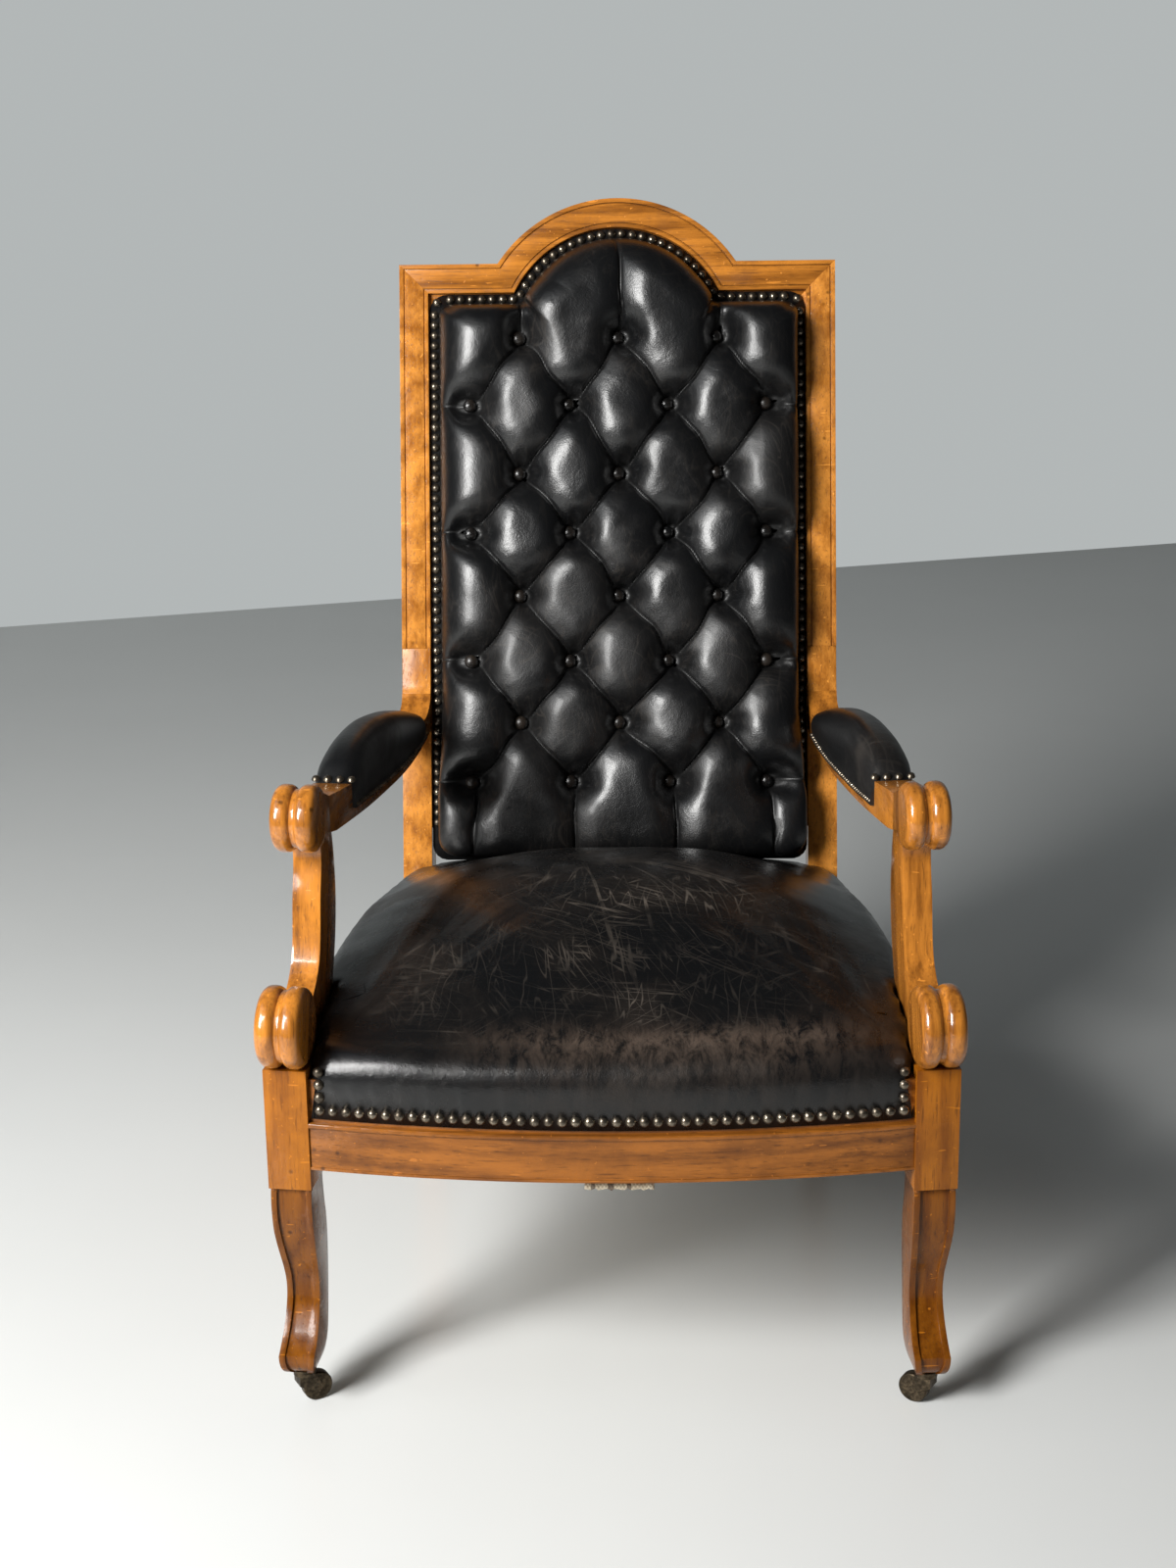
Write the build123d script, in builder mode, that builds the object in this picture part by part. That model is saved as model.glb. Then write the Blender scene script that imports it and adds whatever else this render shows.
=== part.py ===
from build123d import *
import os
from math import atan2, cos, degrees, hypot, pi, radians, sin, sqrt, tan

# A tall tufted armchair with a walnut frame, in millimetres, standing on z = 0.
# X runs to the sitter's left hand side as seen from the front, Y runs to the back.
# The origin is on the floor under the middle of the chair's outline.

# Overall sizes
front_width = 660.0
back_width = 514.0
seat_depth = 580.0
front_from_origin = 388.0
shoulder_height = 1065.0
crest_height = 1138.0
back_rake = 14.5

# Clearances, and how far a cut runs past a face
joint_gap = 0.1
soft_gap = 0.3
overrun = 30.0

# Front leg blocks and the curved legs under them
block_width = 42.0
block_depth = 45.0
block_bottom = 237.5
block_top = 360.0
leg_width = 40.0
leg_bead = 6.0
leg_panel_recess = 3.0
leg_knob_radius = 3.6
foot_height = 38.0
leg_front_shares = ((0.09, 1.0), (0.06, 0.84), (0.34, 0.62), (0.62, 0.40), (0.36, 0.24), (-0.2, 0.12))
foot_front_shares = ((-0.2, 0.12), (-0.16, 0.05), (0.11, 0.0))
leg_back_shares = ((0.78, 0.0), (1.06, 0.15), (1.36, 0.38), (1.30, 0.62), (1.06, 0.86), (1.0, 1.0))
leg_half_width_shares = ((1.0, 1.0), (0.97, 0.7), (0.83, 0.42), (0.87, 0.2), (0.82, 0.06), (0.62, 0.0))

# Seat rails
rail_bottom = 259.0
rail_show = 48.0
rail_top = 350.0
rail_thickness = 28.0
rail_bow = 30.0
rail_setback = 2.0
rail_bead = 5.5
rail_bead_proud = 2.0
side_rail_thickness = 26.0
side_rail_setback = 6.5
rebate = 4.0
tenon_thickness = 10.0
tenon_length = 18.0
rear_tenon_length = 14.0
tenon_shoulder = 14.0
corner_block_leg = 62.0
corner_block_height = 40.0

# Rear posts, each with its raked rear leg in one piece, and the frame of the back
band = 34.0
post_depth = 50.0
frame_thickness = 30.0
post_straight_from = 250.0
rear_leg_sweep = 112.0
rear_foot_depth = 36.0
rear_leg_front_shares = ((0.0, 1.0), (0.06, 0.74), (0.38, 0.36), (1.0, 0.0))
rear_leg_back_shares = ((1.0, 0.0), (0.45, 0.36), (0.09, 0.74), (0.0, 1.0))
arch_radius = 168.8
outer_bead = 5.0
inner_bead = 4.0
groove = 1.5
lip_width = 16.0
lip_drop = 7.0
lip_thickness = 20.0
lip_start = 62.0
lower_rail_start = 84.0
lower_rail_height = 46.0

# Arms and their scrolled supports, in the upright plane of each side
lower_scroll_radius = 39.5
lower_scroll_u = 13.0
upper_scroll_radius = 33.0
upper_scroll_u = 93.0
upper_scroll_height = 582.0
scroll_width = 43.5
scroll_groove = 1.5
scroll_round = 9.0
stem_width = 28.0
arm_front_width = 40.0
arm_joint_u = 135.0
arm_joint_height = 37.0
arm_under_height = 556.0
arm_dip = 32.0
arm_cove_radius = 50.0
arm_under_shares = (
    (0.05, 0.17),
    (0.16, 0.37),
    (0.33, 0.66),
    (0.54, 0.92),
    (0.72, 1.06),
    (0.86, 1.0),
    (1.0, 0.75),
)
stem_front_shares = (
    (0.83, 1.03),
    (0.86, 0.86),
    (0.8, 0.71),
    (0.755, 0.535),
    (0.7, 0.41),
    (0.6, 0.325),
    (0.36, 0.235),
)
stem_back_shares = (
    (1.185, 0.965),
    (1.225, 0.78),
    (1.205, 0.535),
    (1.13, 0.36),
    (1.01, 0.18),
    (0.79, -0.051),
)
ear_bottom = 575.0
ear_top = 626.0
ear_let_in = 10.0
pad_front = 93.0
pad_back = 439.0
pad_strip = 12.0
pad_bed = 24.0
pad_core_width = 28.0
pad_height = 70.0
pad_base_width = 41.0
pad_bulge = 3.5
pad_side_share = 0.42
pad_shoulder_share = 0.8
pad_shares = (
    (0.0, 0.38),
    (0.03, 0.68),
    (0.11, 0.87),
    (0.22, 0.97),
    (0.36, 1.0),
    (0.54, 0.96),
    (0.71, 0.83),
    (0.87, 0.55),
    (1.0, 0.27),
)

# Dowels
stump_dowel_radius = 6.0
stump_dowel_length = 44.0
arm_dowel_radius = 5.0
arm_dowel_length = 50.0

# Upholstery
hide = 2.0
canvas = 1.2
web_width = 68.0
web_thickness = 1.8
seat_crown = 108.0
seat_edge = 12.0
seat_nose = 17.0
seat_front_round = 18.0
seat_side_round = 14.0
seat_depth_shares = (
    (-0.06, 0.15, 1.0),
    (0.02, 0.17, 1.0),
    (0.08, 0.24, 1.0),
    (0.19, 0.53, 1.0),
    (0.33, 0.84, 1.0),
    (0.48, 0.99, 0.95),
    (0.66, 0.9, 0.8),
    (0.81, 0.64, 0.6),
    (0.91, 0.4, 0.45),
    (1.06, 0.06, 0.2),
)
seat_hem = 4.0
platform_height = 392.0
platform_half_width = 150.0
platform_front = -290.0
platform_back = 70.0
spring_x = 105.0
spring_y = 135.0
spring_centre_y = -110.0
spring_end_radius = 36.0
spring_waist_radius = 24.0
spring_wire_radius = 1.8
spring_turns = 4
spring_sides = 8
cushion_inset = 13.5
cushion_valley = 24.0
cushion_depth = 62.0
cushion_bottom = 46.0
pillow_shares = ((0.0, 0.985), (0.3, 0.95), (0.62, 0.85), (0.87, 0.66), (1.0, 0.36))
button_radius = 6.5
button_height = 5.0
button_sides = 8
back_web_shares = (0.15, 0.45, 0.75, 1.0)
nail_radius = 5.0
nail_height = 3.2
nail_sides = 6
nail_taper = 38.0
nail_line = 7.0
seat_nail_height = 320.0
seat_nail_pitch = 13.0
corner_nail_rows = 4
back_nail_pitch = 12.0
tuft_pitch = 115.0
tuft_top = 635.0
tuft_bottom = 116.5
tuft_row_shares = (1.0, 0.85, 0.695, 0.562, 0.42, 0.273, 0.134, 0.0)

# Casters under the front legs
caster_u = 17.0
caster_plate_radius = 12.0
caster_plate_thickness = 2.5
caster_pin_radius = 4.0
caster_pin_length = 32.0
caster_swivel_radius = 3.5
caster_rivet_radius = 4.6
caster_rivet_height = 1.4
caster_hub_radius = 11.0
caster_hub_height = 4.6
caster_trail = 12.0
caster_turn = 60.0
wheel_radius = 15.0
wheel_width = 11.0
axle_radius = 2.5
cheek_thickness = 2.4
cheek_boss = 4.5
horn_front = 8.0
horn_back = 9.0
horn_drop = 10.0
running_gap = 0.05
side_play = 0.5

# Places worked out from the sizes above
front_y = -front_from_origin
post_front_y = front_y + seat_depth
front_centre_x = (front_width - block_width) / 2
post_centre_x = (back_width - band) / 2
side_angle = degrees(atan2(front_centre_x - post_centre_x, seat_depth + post_depth / 2))
side_sin = sin(radians(side_angle))
side_cos = cos(radians(side_angle))
rake_sin = sin(radians(back_rake))
rake_cos = cos(radians(back_rake))
rake_tan = tan(radians(back_rake))
shoulder_s = (shoulder_height - block_top) / rake_cos
apex_s = (crest_height - block_top) / rake_cos
arch_centre_s = apex_s - arch_radius
show_top = rail_bottom + rail_show
back_half = back_width / 2
post_inner_x = back_half - band
side_outer_v = block_width / 2 - side_rail_setback
lip_inner = band + lip_width
web_bottom = rail_bottom - web_thickness
side_rail_bottom = rail_bottom + web_thickness
arm_end_height = arm_under_height - arm_dip * arm_under_shares[-1][1]

back_plane = Plane(origin=(0, post_front_y, block_top), x_dir=(1, 0, 0), z_dir=(0, -rake_cos, rake_sin))


def side_plane(side):
    # The upright plane of one side: local x runs back along the side, local y up
    along = (-side * side_sin, side_cos, 0)
    outward = (side_cos, side * side_sin, 0)
    return Plane(origin=(side * front_centre_x, front_y, 0), x_dir=along, z_dir=outward)


def front_plane(side):
    outward = (side_cos, side * side_sin, 0)
    ahead = (side * side_sin, -side_cos, 0)
    return Plane(origin=(side * front_centre_x, front_y, 0), x_dir=outward, z_dir=ahead)


def on_side(side, u, v=0.0):
    # The plan place of a point u back along a side and v outward from its centre
    x = side * (front_centre_x - u * side_sin + v * side_cos)
    y = front_y + u * side_cos + v * side_sin
    return (x, y)


def side_box(side, u_span, v_span, z_span, mode=Mode.ADD):
    x, y = on_side(side, sum(u_span) / 2, sum(v_span) / 2)
    plan = Plane(origin=(x, y, z_span[0]), x_dir=(-side * side_sin, side_cos, 0), z_dir=(0, 0, 1))
    with BuildSketch(plan) as outline:
        Rectangle(u_span[1] - u_span[0], v_span[1] - v_span[0])
    extrude(outline.sketch, amount=z_span[1] - z_span[0], mode=mode)


def back_box(x_span, s_span, t_span, mode=Mode.ADD):
    # A box on the raked plane of the back: t is height ahead of the frame's front face
    with BuildSketch(back_plane.offset(t_span[0])) as outline:
        with Locations((sum(x_span) / 2, sum(s_span) / 2)):
            Rectangle(x_span[1] - x_span[0], s_span[1] - s_span[0])
    extrude(outline.sketch, amount=t_span[1] - t_span[0], mode=mode)


def back_y(z, t=0.0):
    # The depth of the back's raked plane at height z, t ahead of the frame's face
    return post_front_y + (z - block_top) * rake_tan - t / rake_cos


def side_u(y, v=0.0):
    # How far back along a side the depth y lies, v outward from its centre
    return (y - front_y - v * side_sin) / side_cos


def side_x(y, v=0.0):
    return on_side(1, side_u(y, v), v)[0]


def bow_circle(inset):
    # Centre and radius of the bowed front, an inset behind the front rail's polished face
    end_x, end_y = on_side(1, rail_setback + inset, -block_width / 2)
    apex = front_y - rail_bow + inset
    sagitta = end_y - apex
    radius = (end_x**2 + sagitta**2) / (2 * sagitta)
    return apex + radius, radius


def bow_y(x, inset):
    centre_y, radius = bow_circle(inset)
    return centre_y - sqrt(radius**2 - x**2)


def keep(piece, node):
    piece.label = node
    export_step(piece, f"parts/{node}.step")


def keep_pair(piece, node):
    # The right piece is the one modelled, and the left one is its mirror image
    keep(piece, f"{node}_right")
    keep(mirror(piece, about=Plane.YZ), f"{node}_left")


os.makedirs("parts", exist_ok=True)

# Front legs: a square block over a leg sawn to a double curve in side view
leg_drop = block_bottom - foot_height


def leg_points(shares, setback=0.0):
    return [(block_depth * u + setback, foot_height + leg_drop * z) for u, z in shares]


def leg_face(setback):
    # The leg's side view, with its front set back for the panel between the beads
    front = leg_points(leg_front_shares, setback)
    toe = leg_points(foot_front_shares, setback)
    back = leg_points(leg_back_shares)
    with BuildSketch() as view:
        with BuildLine():
            Spline(*front)
            Spline(*toe)
            Line(toe[-1], back[0])
            Spline(*back)
            Line(back[-1], front[0])
        make_face()
    return view.sketch


rail_tenon_z = (rail_bottom + tenon_shoulder, rail_top - tenon_shoulder)
front_tenon_u = rail_setback + rail_thickness / 2
side_tenon_v = side_outer_v - side_rail_thickness / 2
mortise_length = tenon_length + joint_gap
stump_dowel_u = lower_scroll_u + block_depth / 4
pivot_x, pivot_y = on_side(1, caster_u)

def leg_outline(inset):
    # The leg's front view below its block, at an inset from its sides
    right = [(leg_width / 2 * w - inset, foot_height + leg_drop * z) for w, z in leg_half_width_shares]
    return right, [(-x, z) for x, z in right]


with BuildPart() as leg_panel:
    # What is cut away before the panel, between the beads
    right_edge, left_edge = leg_outline(leg_bead)
    with BuildSketch(front_plane(1)):
        with BuildLine():
            Spline(*right_edge)
            Line(right_edge[-1], left_edge[-1])
            Spline(*reversed(left_edge))
            Line(left_edge[0], right_edge[0])
        make_face()
    extrude(amount=block_depth * 2, both=True)
    with BuildSketch(side_plane(1)):
        add(leg_face(leg_panel_recess))
    extrude(amount=leg_width, both=True, mode=Mode.SUBTRACT)

with BuildPart() as front_leg:
    with BuildSketch(side_plane(1)):
        with Locations((block_depth / 2, (block_bottom + block_top) / 2)):
            Rectangle(block_depth, block_top - block_bottom)
    extrude(amount=block_width / 2, both=True)
    with BuildSketch(side_plane(1)):
        add(leg_face(0))
    extrude(amount=leg_width / 2, both=True)
    # The width narrows to the ankle and swells a little at the foot
    right_edge, left_edge = leg_outline(0)
    with BuildSketch(front_plane(1)):
        with BuildLine():
            Spline(*right_edge)
            Line(right_edge[-1], left_edge[-1])
            Spline(*reversed(left_edge))
            Polyline(
                left_edge[0],
                (-block_width / 2, block_bottom),
                (-block_width / 2, block_top),
                (block_width / 2, block_top),
                (block_width / 2, block_bottom),
                right_edge[0],
            )
        make_face()
    extrude(amount=block_depth * 2, both=True, mode=Mode.INTERSECT)
    add(leg_panel.part, mode=Mode.SUBTRACT)
    # Each bead ends under the block in a small round knob
    knob_u = block_depth * leg_front_shares[0][0] + leg_knob_radius / 2
    for edge in (-1, 1):
        knob_x, knob_y = on_side(1, knob_u, edge * (leg_width - leg_bead) / 2)
        with Locations((knob_x, knob_y, block_bottom - leg_knob_radius / 2)):
            Sphere(leg_knob_radius)
    # Mortises for the front rail and the side rail, and holes for the dowel and the caster
    side_box(
        1,
        (front_tenon_u - tenon_thickness / 2 - joint_gap, front_tenon_u + tenon_thickness / 2 + joint_gap),
        (-block_width / 2, -block_width / 2 + mortise_length),
        (rail_tenon_z[0] - joint_gap, rail_tenon_z[1] + joint_gap),
        Mode.SUBTRACT,
    )
    side_box(
        1,
        (block_depth - mortise_length, block_depth),
        (side_tenon_v - tenon_thickness / 2 - joint_gap, side_tenon_v + tenon_thickness / 2 + joint_gap),
        (rail_tenon_z[0] - joint_gap, rail_tenon_z[1] + joint_gap),
        Mode.SUBTRACT,
    )
    with BuildSketch(Plane.XY.offset(block_top - stump_dowel_length / 2 - joint_gap)):
        with Locations(on_side(1, stump_dowel_u)):
            Circle(stump_dowel_radius + joint_gap)
    extrude(amount=stump_dowel_length, mode=Mode.SUBTRACT)
    with BuildSketch(Plane.XY.offset(foot_height)):
        with Locations((pivot_x, pivot_y)):
            Circle(caster_pin_radius + joint_gap)
    extrude(amount=caster_pin_length + joint_gap, mode=Mode.SUBTRACT)
keep_pair(front_leg.part, "front_leg")


# Front rail: bowed in plan, with a bead above its polished face and a rebate for the hide
def bow_face(front_inset, back_inset):
    # The plan of a bowed strip between two insets from the rail's polished face
    ends = [on_side(1, rail_setback + inset, -block_width / 2) for inset in (front_inset, back_inset)]
    (x1, y1), (x2, y2) = ends
    apex = front_y - rail_bow
    with BuildSketch() as strip:
        with BuildLine():
            ThreePointArc((-x1, y1), (0, apex + front_inset), (x1, y1))
            Line((x1, y1), (x2, y2))
            ThreePointArc((x2, y2), (0, apex + back_inset), (-x2, y2))
            Line((-x2, y2), (-x1, y1))
        make_face()
    return strip.sketch


with BuildPart() as front_rail:
    with BuildSketch(Plane.XY.offset(rail_bottom)):
        add(bow_face(0, rail_thickness))
    extrude(amount=rail_show)
    with BuildSketch(Plane.XY.offset(rail_bottom)):
        add(bow_face(rebate, rail_thickness))
    extrude(amount=rail_top - rail_bottom)
    for low, proud, high in (
        (show_top - rail_bead, rail_bead_proud, show_top),
        (rail_bottom, rail_bead_proud / 2, rail_bottom + rail_bead / 2),
    ):
        with BuildSketch(Plane.XY.offset(low)):
            add(bow_face(-proud, rebate))
        extrude(amount=high - low)
    nose = front_rail.edges().filter_by(GeomType.CIRCLE).group_by(Axis.Y)[0]
    fillet(nose, rail_bead_proud * 0.9)
    for side in (-1, 1):
        side_box(
            side,
            (front_tenon_u - tenon_thickness / 2, front_tenon_u + tenon_thickness / 2),
            (-block_width / 2 - tenon_thickness, -block_width / 2 + tenon_length),
            rail_tenon_z,
        )
keep(front_rail.part, "front_rail")

# Side rails, rebated above the polished strip like the front one
side_rail_reach = side_u(post_front_y) + block_width
side_rail_inner_v = side_outer_v - side_rail_thickness
post_tenon_y = post_front_y + tenon_length
with BuildPart() as side_rail:
    side_box(
        1,
        (block_depth, side_rail_reach),
        (side_rail_inner_v, side_outer_v),
        (side_rail_bottom, show_top),
    )
    side_box(
        1,
        (block_depth, side_rail_reach),
        (side_rail_inner_v, side_outer_v - rebate),
        (side_rail_bottom, rail_top),
    )
    side_box(
        1,
        (block_depth, side_rail_reach),
        (side_outer_v - rebate, side_outer_v + rail_bead_proud),
        (show_top - rail_bead, show_top),
    )
    split(bisect_by=Plane.XZ.offset(-post_front_y), keep=Keep.TOP)
    side_box(
        1,
        (block_depth - tenon_length, side_rail_reach),
        (side_tenon_v - tenon_thickness / 2, side_tenon_v + tenon_thickness / 2),
        rail_tenon_z,
    )
    split(bisect_by=Plane.XZ.offset(-post_tenon_y), keep=Keep.TOP)
keep_pair(side_rail.part, "side_rail")

# Rear posts: side view of the raked post and its swept rear leg, then the rebated lip
rear_rail_y = post_front_y + rail_setback
lower_rail_s = (lower_rail_start, lower_rail_start + lower_rail_height)
lower_tenon_s = (lower_rail_s[0] + tenon_shoulder / 2, lower_rail_s[1] - tenon_shoulder / 2)
lip_centre_t = -lip_drop - lip_thickness / 2
lower_tenon_t = (lip_centre_t - tenon_thickness / 2, lip_centre_t + tenon_thickness / 2)
ear_s = ((arm_end_height - block_top) / rake_cos, (ear_top - block_top) / rake_cos)


def raked(s, t):
    # A point of the side view, s up the back's plane and t ahead of its face
    return (post_front_y + s * rake_sin - t * rake_cos, block_top + s * rake_cos + t * rake_sin)


def rear_leg_points(shares, shift):
    return [(post_front_y + shift + rear_leg_sweep * y, post_straight_from * z) for y, z in shares]


with BuildPart() as rear_post:
    leg_front = rear_leg_points(rear_leg_front_shares, 0)
    leg_back = rear_leg_points(rear_leg_back_shares, post_depth)
    leg_back[0] = (leg_front[-1][0] + rear_foot_depth, 0)
    with BuildSketch(Plane.YZ.offset(post_inner_x)):
        with BuildLine():
            Spline(*leg_front, tangents=((0, -1), (0.72, -0.7)))
            Line(leg_front[-1], leg_back[0])
            Spline(*leg_back, tangents=((-0.72, 0.7), (0, 1)))
            Polyline(
                leg_back[-1],
                (post_front_y + post_depth, rail_top),
                raked(shoulder_s / 3, -(post_depth + frame_thickness) / 2),
                raked(shoulder_s, -frame_thickness),
                raked(shoulder_s, 0),
                (post_front_y, block_top),
                leg_front[0],
            )
        make_face()
    extrude(amount=band)
    # The lip inside the face, where the hide of the back is tacked
    back_box(
        (post_inner_x - lip_width, post_inner_x + lip_width),
        (lip_start, shoulder_s),
        (-lip_drop - lip_thickness, -lip_drop),
    )
    # Beads and their grooves run down both edges of the face to the arm
    for inset in (outer_bead, band - inner_bead - groove):
        back_box(
            (back_half - inset - groove, back_half - inset),
            (ear_s[1], shoulder_s),
            (-groove, overrun),
            Mode.SUBTRACT,
        )
    # The mitre to the crest rail
    mitre = Plane(
        origin=back_plane.from_local_coords((back_half, shoulder_s, 0)),
        x_dir=back_plane.z_dir,
        z_dir=back_plane.x_dir + back_plane.y_dir * -1,
    )
    split(bisect_by=mitre, keep=Keep.TOP)
    # Housing for the arm's rear end, and mortises for the side, rear and lower back rails
    back_box(
        (post_inner_x - joint_gap, back_half + overrun),
        (ear_s[0] - joint_gap, ear_s[1] + joint_gap),
        (-ear_let_in, overrun),
        Mode.SUBTRACT,
    )
    side_box(
        1,
        (side_u(post_front_y) - block_width, side_u(post_tenon_y + tenon_thickness * side_sin)),
        (side_tenon_v - tenon_thickness / 2 - joint_gap, side_tenon_v + tenon_thickness / 2 + joint_gap),
        (rail_tenon_z[0] - joint_gap, rail_tenon_z[1] + joint_gap),
        Mode.SUBTRACT,
    )
    with BuildSketch(Plane.XY.offset(rail_tenon_z[0] - joint_gap)):
        with Locations((post_inner_x + mortise_length / 2, rear_rail_y + rail_thickness / 2)):
            Rectangle(mortise_length, tenon_thickness + 2 * joint_gap)
    extrude(amount=rail_tenon_z[1] - rail_tenon_z[0] + 2 * joint_gap, mode=Mode.SUBTRACT)
    back_box(
        (post_inner_x - lip_width, post_inner_x + mortise_length),
        (lower_tenon_s[0] - joint_gap, lower_tenon_s[1] + joint_gap),
        (lower_tenon_t[0] - joint_gap, lower_tenon_t[1] + joint_gap),
        Mode.SUBTRACT,
    )
keep_pair(rear_post.part, "rear_post")

# Rear seat rail and the lower rail of the back, both tenoned between the posts
with BuildPart() as rear_rail:
    with BuildSketch(Plane.XY.offset(rail_bottom)):
        with Locations((0, rear_rail_y + rail_thickness / 2)):
            Rectangle(2 * post_inner_x, rail_thickness)
    extrude(amount=rail_top - rail_bottom)
    with BuildSketch(Plane.XY.offset(rail_tenon_z[0])):
        with Locations((0, rear_rail_y + rail_thickness / 2)):
            Rectangle(2 * (post_inner_x + rear_tenon_length), tenon_thickness)
    extrude(amount=rail_tenon_z[1] - rail_tenon_z[0])
keep(rear_rail.part, "rear_rail")

with BuildPart() as back_lower_rail:
    lip_x = post_inner_x - lip_width
    back_box((-lip_x, lip_x), lower_rail_s, (-lip_drop - lip_thickness, -lip_drop))
    back_box((-post_inner_x - tenon_length, post_inner_x + tenon_length), lower_tenon_s, lower_tenon_t)
keep(back_lower_rail.part, "back_lower_rail")


# Crest rail: two shoulders and a round arch, mitred to the posts
def crest_line(inset):
    # The crest's outline at an inset from its outer edge: corner, foot of the arch, top
    s = shoulder_s - inset
    radius = arch_radius - inset
    half_chord = sqrt(radius**2 - (s - arch_centre_s) ** 2)
    return (back_half - inset, s), (half_chord, s), (0, arch_centre_s + radius)


def crest_region(inset, bottom):
    # Everything inside the crest's line at an inset, down to a straight bottom edge
    corner, foot, top = crest_line(inset)
    with BuildSketch() as region:
        with BuildLine():
            ThreePointArc(foot, top, (-foot[0], foot[1]))
            Polyline(
                (-foot[0], foot[1]),
                (-corner[0], corner[1]),
                (-corner[0], bottom),
                (corner[0], bottom),
                corner,
                foot,
            )
        make_face()
    return region.sketch


def crest_band(outer_inset, inner_inset):
    corner, foot, top = crest_line(outer_inset)
    inner_corner, inner_foot, inner_top = crest_line(inner_inset)
    with BuildSketch() as ring:
        with BuildLine():
            Polyline(inner_foot, inner_corner, corner, foot)
            ThreePointArc(foot, top, (-foot[0], foot[1]))
            Polyline(
                (-foot[0], foot[1]),
                (-corner[0], corner[1]),
                (-inner_corner[0], inner_corner[1]),
                (-inner_foot[0], inner_foot[1]),
            )
            ThreePointArc((-inner_foot[0], inner_foot[1]), inner_top, inner_foot)
        make_face()
    return ring.sketch


with BuildPart() as crest_rail:
    with BuildSketch(back_plane.offset(-frame_thickness)):
        add(crest_band(0, band))
    extrude(amount=frame_thickness)
    with BuildSketch(back_plane.offset(-lip_drop - lip_thickness)):
        add(crest_band(band - lip_drop, lip_inner))
    extrude(amount=lip_thickness)
    for inset in (outer_bead, band - inner_bead - groove):
        with BuildSketch(back_plane.offset(-groove)):
            add(crest_band(inset, inset + groove))
        extrude(amount=overrun, mode=Mode.SUBTRACT)
keep(crest_rail.part, "crest_rail")

# Corner blocks glued inside the seat frame
corner_z = rail_top - tenon_shoulder - corner_block_height
rail_back = rail_setback + rail_thickness
with BuildPart() as corner_block_front:
    inner_x = on_side(1, rail_back, -block_width / 2)[0] - corner_block_leg
    with BuildSketch(Plane.XY.offset(corner_z)):
        Polygon(
            on_side(1, rail_back, -block_width / 2),
            on_side(1, block_depth, -block_width / 2),
            on_side(1, block_depth, side_rail_inner_v),
            on_side(1, block_depth + corner_block_leg, side_rail_inner_v),
            (inner_x, bow_y(inner_x, rail_thickness)),
            align=None,
        )
    extrude(amount=corner_block_height)
keep_pair(corner_block_front.part, "corner_block_front")

with BuildPart() as corner_block_rear:
    corner_u = side_u(post_front_y, side_rail_inner_v)
    with BuildSketch(Plane.XY.offset(corner_z)):
        Polygon(
            on_side(1, corner_u - corner_block_leg, side_rail_inner_v),
            on_side(1, corner_u, side_rail_inner_v),
            (post_inner_x, post_front_y),
            (post_inner_x, rear_rail_y),
            (post_inner_x - corner_block_leg, rear_rail_y),
            align=None,
        )
    extrude(amount=corner_block_height)
keep_pair(corner_block_rear.part, "corner_block_rear")

# Arm supports: a stem between a lower and an upper scroll, each scroll in two rolls
lower_centre = (lower_scroll_u, block_top + lower_scroll_radius)
upper_centre = (upper_scroll_u, upper_scroll_height)
stem_rise = arm_under_height - block_top
roll_width = (scroll_width - scroll_groove) / 2
neck_top = (arm_joint_u, arm_under_height + arm_joint_height)
neck_start = (upper_scroll_u + upper_scroll_radius / 3, upper_scroll_height + 0.75 * upper_scroll_radius)
arm_dowel_z = arm_under_height + arm_joint_height / 2


def stem_points(shares, setback=0.0):
    return [(arm_joint_u * u + setback, block_top + stem_rise * z) for u, z in shares]


def disc(centre, radius, thickness, v=0.0):
    with BuildSketch(side_plane(1).offset(v)) as outline:
        with Locations(centre):
            Circle(radius)
    extrude(outline.sketch, amount=thickness / 2, both=True)


with BuildPart() as scroll_rolls:
    for centre, radius in ((lower_centre, lower_scroll_radius), (upper_centre, upper_scroll_radius)):
        for edge in (-1, 1):
            disc(centre, radius, roll_width, edge * (roll_width + scroll_groove) / 2)
    fillet(scroll_rolls.edges().filter_by(GeomType.CIRCLE), scroll_round)

with BuildPart() as arm_stump:
    add(scroll_rolls.part)
    for centre, radius in ((lower_centre, lower_scroll_radius), (upper_centre, upper_scroll_radius)):
        disc(centre, radius - scroll_round / 2, scroll_width - 2 * scroll_round)
    stem_front = stem_points(stem_front_shares)
    stem_back = stem_points(stem_back_shares)
    with BuildSketch(side_plane(1)):
        with BuildLine():
            Spline(*stem_front)
            Polyline(
                stem_front[-1],
                lower_centre,
                (lower_scroll_u, block_top),
                (block_depth, block_top),
                (block_depth, rail_top),
                stem_back[-1],
            )
            Spline(*reversed(stem_back))
            Polyline(
                stem_back[0],
                (arm_joint_u, arm_under_height),
                neck_top,
                neck_start,
                upper_centre,
                stem_front[0],
            )
        make_face()
    extrude(amount=stem_width / 2, both=True)
    with BuildSketch(side_plane(1)):
        neck = (stem_front[0], (arm_joint_u, arm_under_height), neck_top, neck_start, upper_centre)
        Polygon(*neck, align=None)
    extrude(amount=arm_front_width / 2, both=True)
    with BuildSketch(Plane.XY.offset(block_top)):
        with Locations(on_side(1, stump_dowel_u)):
            Circle(stump_dowel_radius + joint_gap)
    extrude(amount=stump_dowel_length / 2 + joint_gap, mode=Mode.SUBTRACT)
    with BuildSketch(front_plane(1).offset(-arm_joint_u)):
        with Locations((0, arm_dowel_z)):
            Circle(arm_dowel_radius + joint_gap)
    extrude(amount=arm_dowel_length / 2 + joint_gap, mode=Mode.SUBTRACT)
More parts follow.
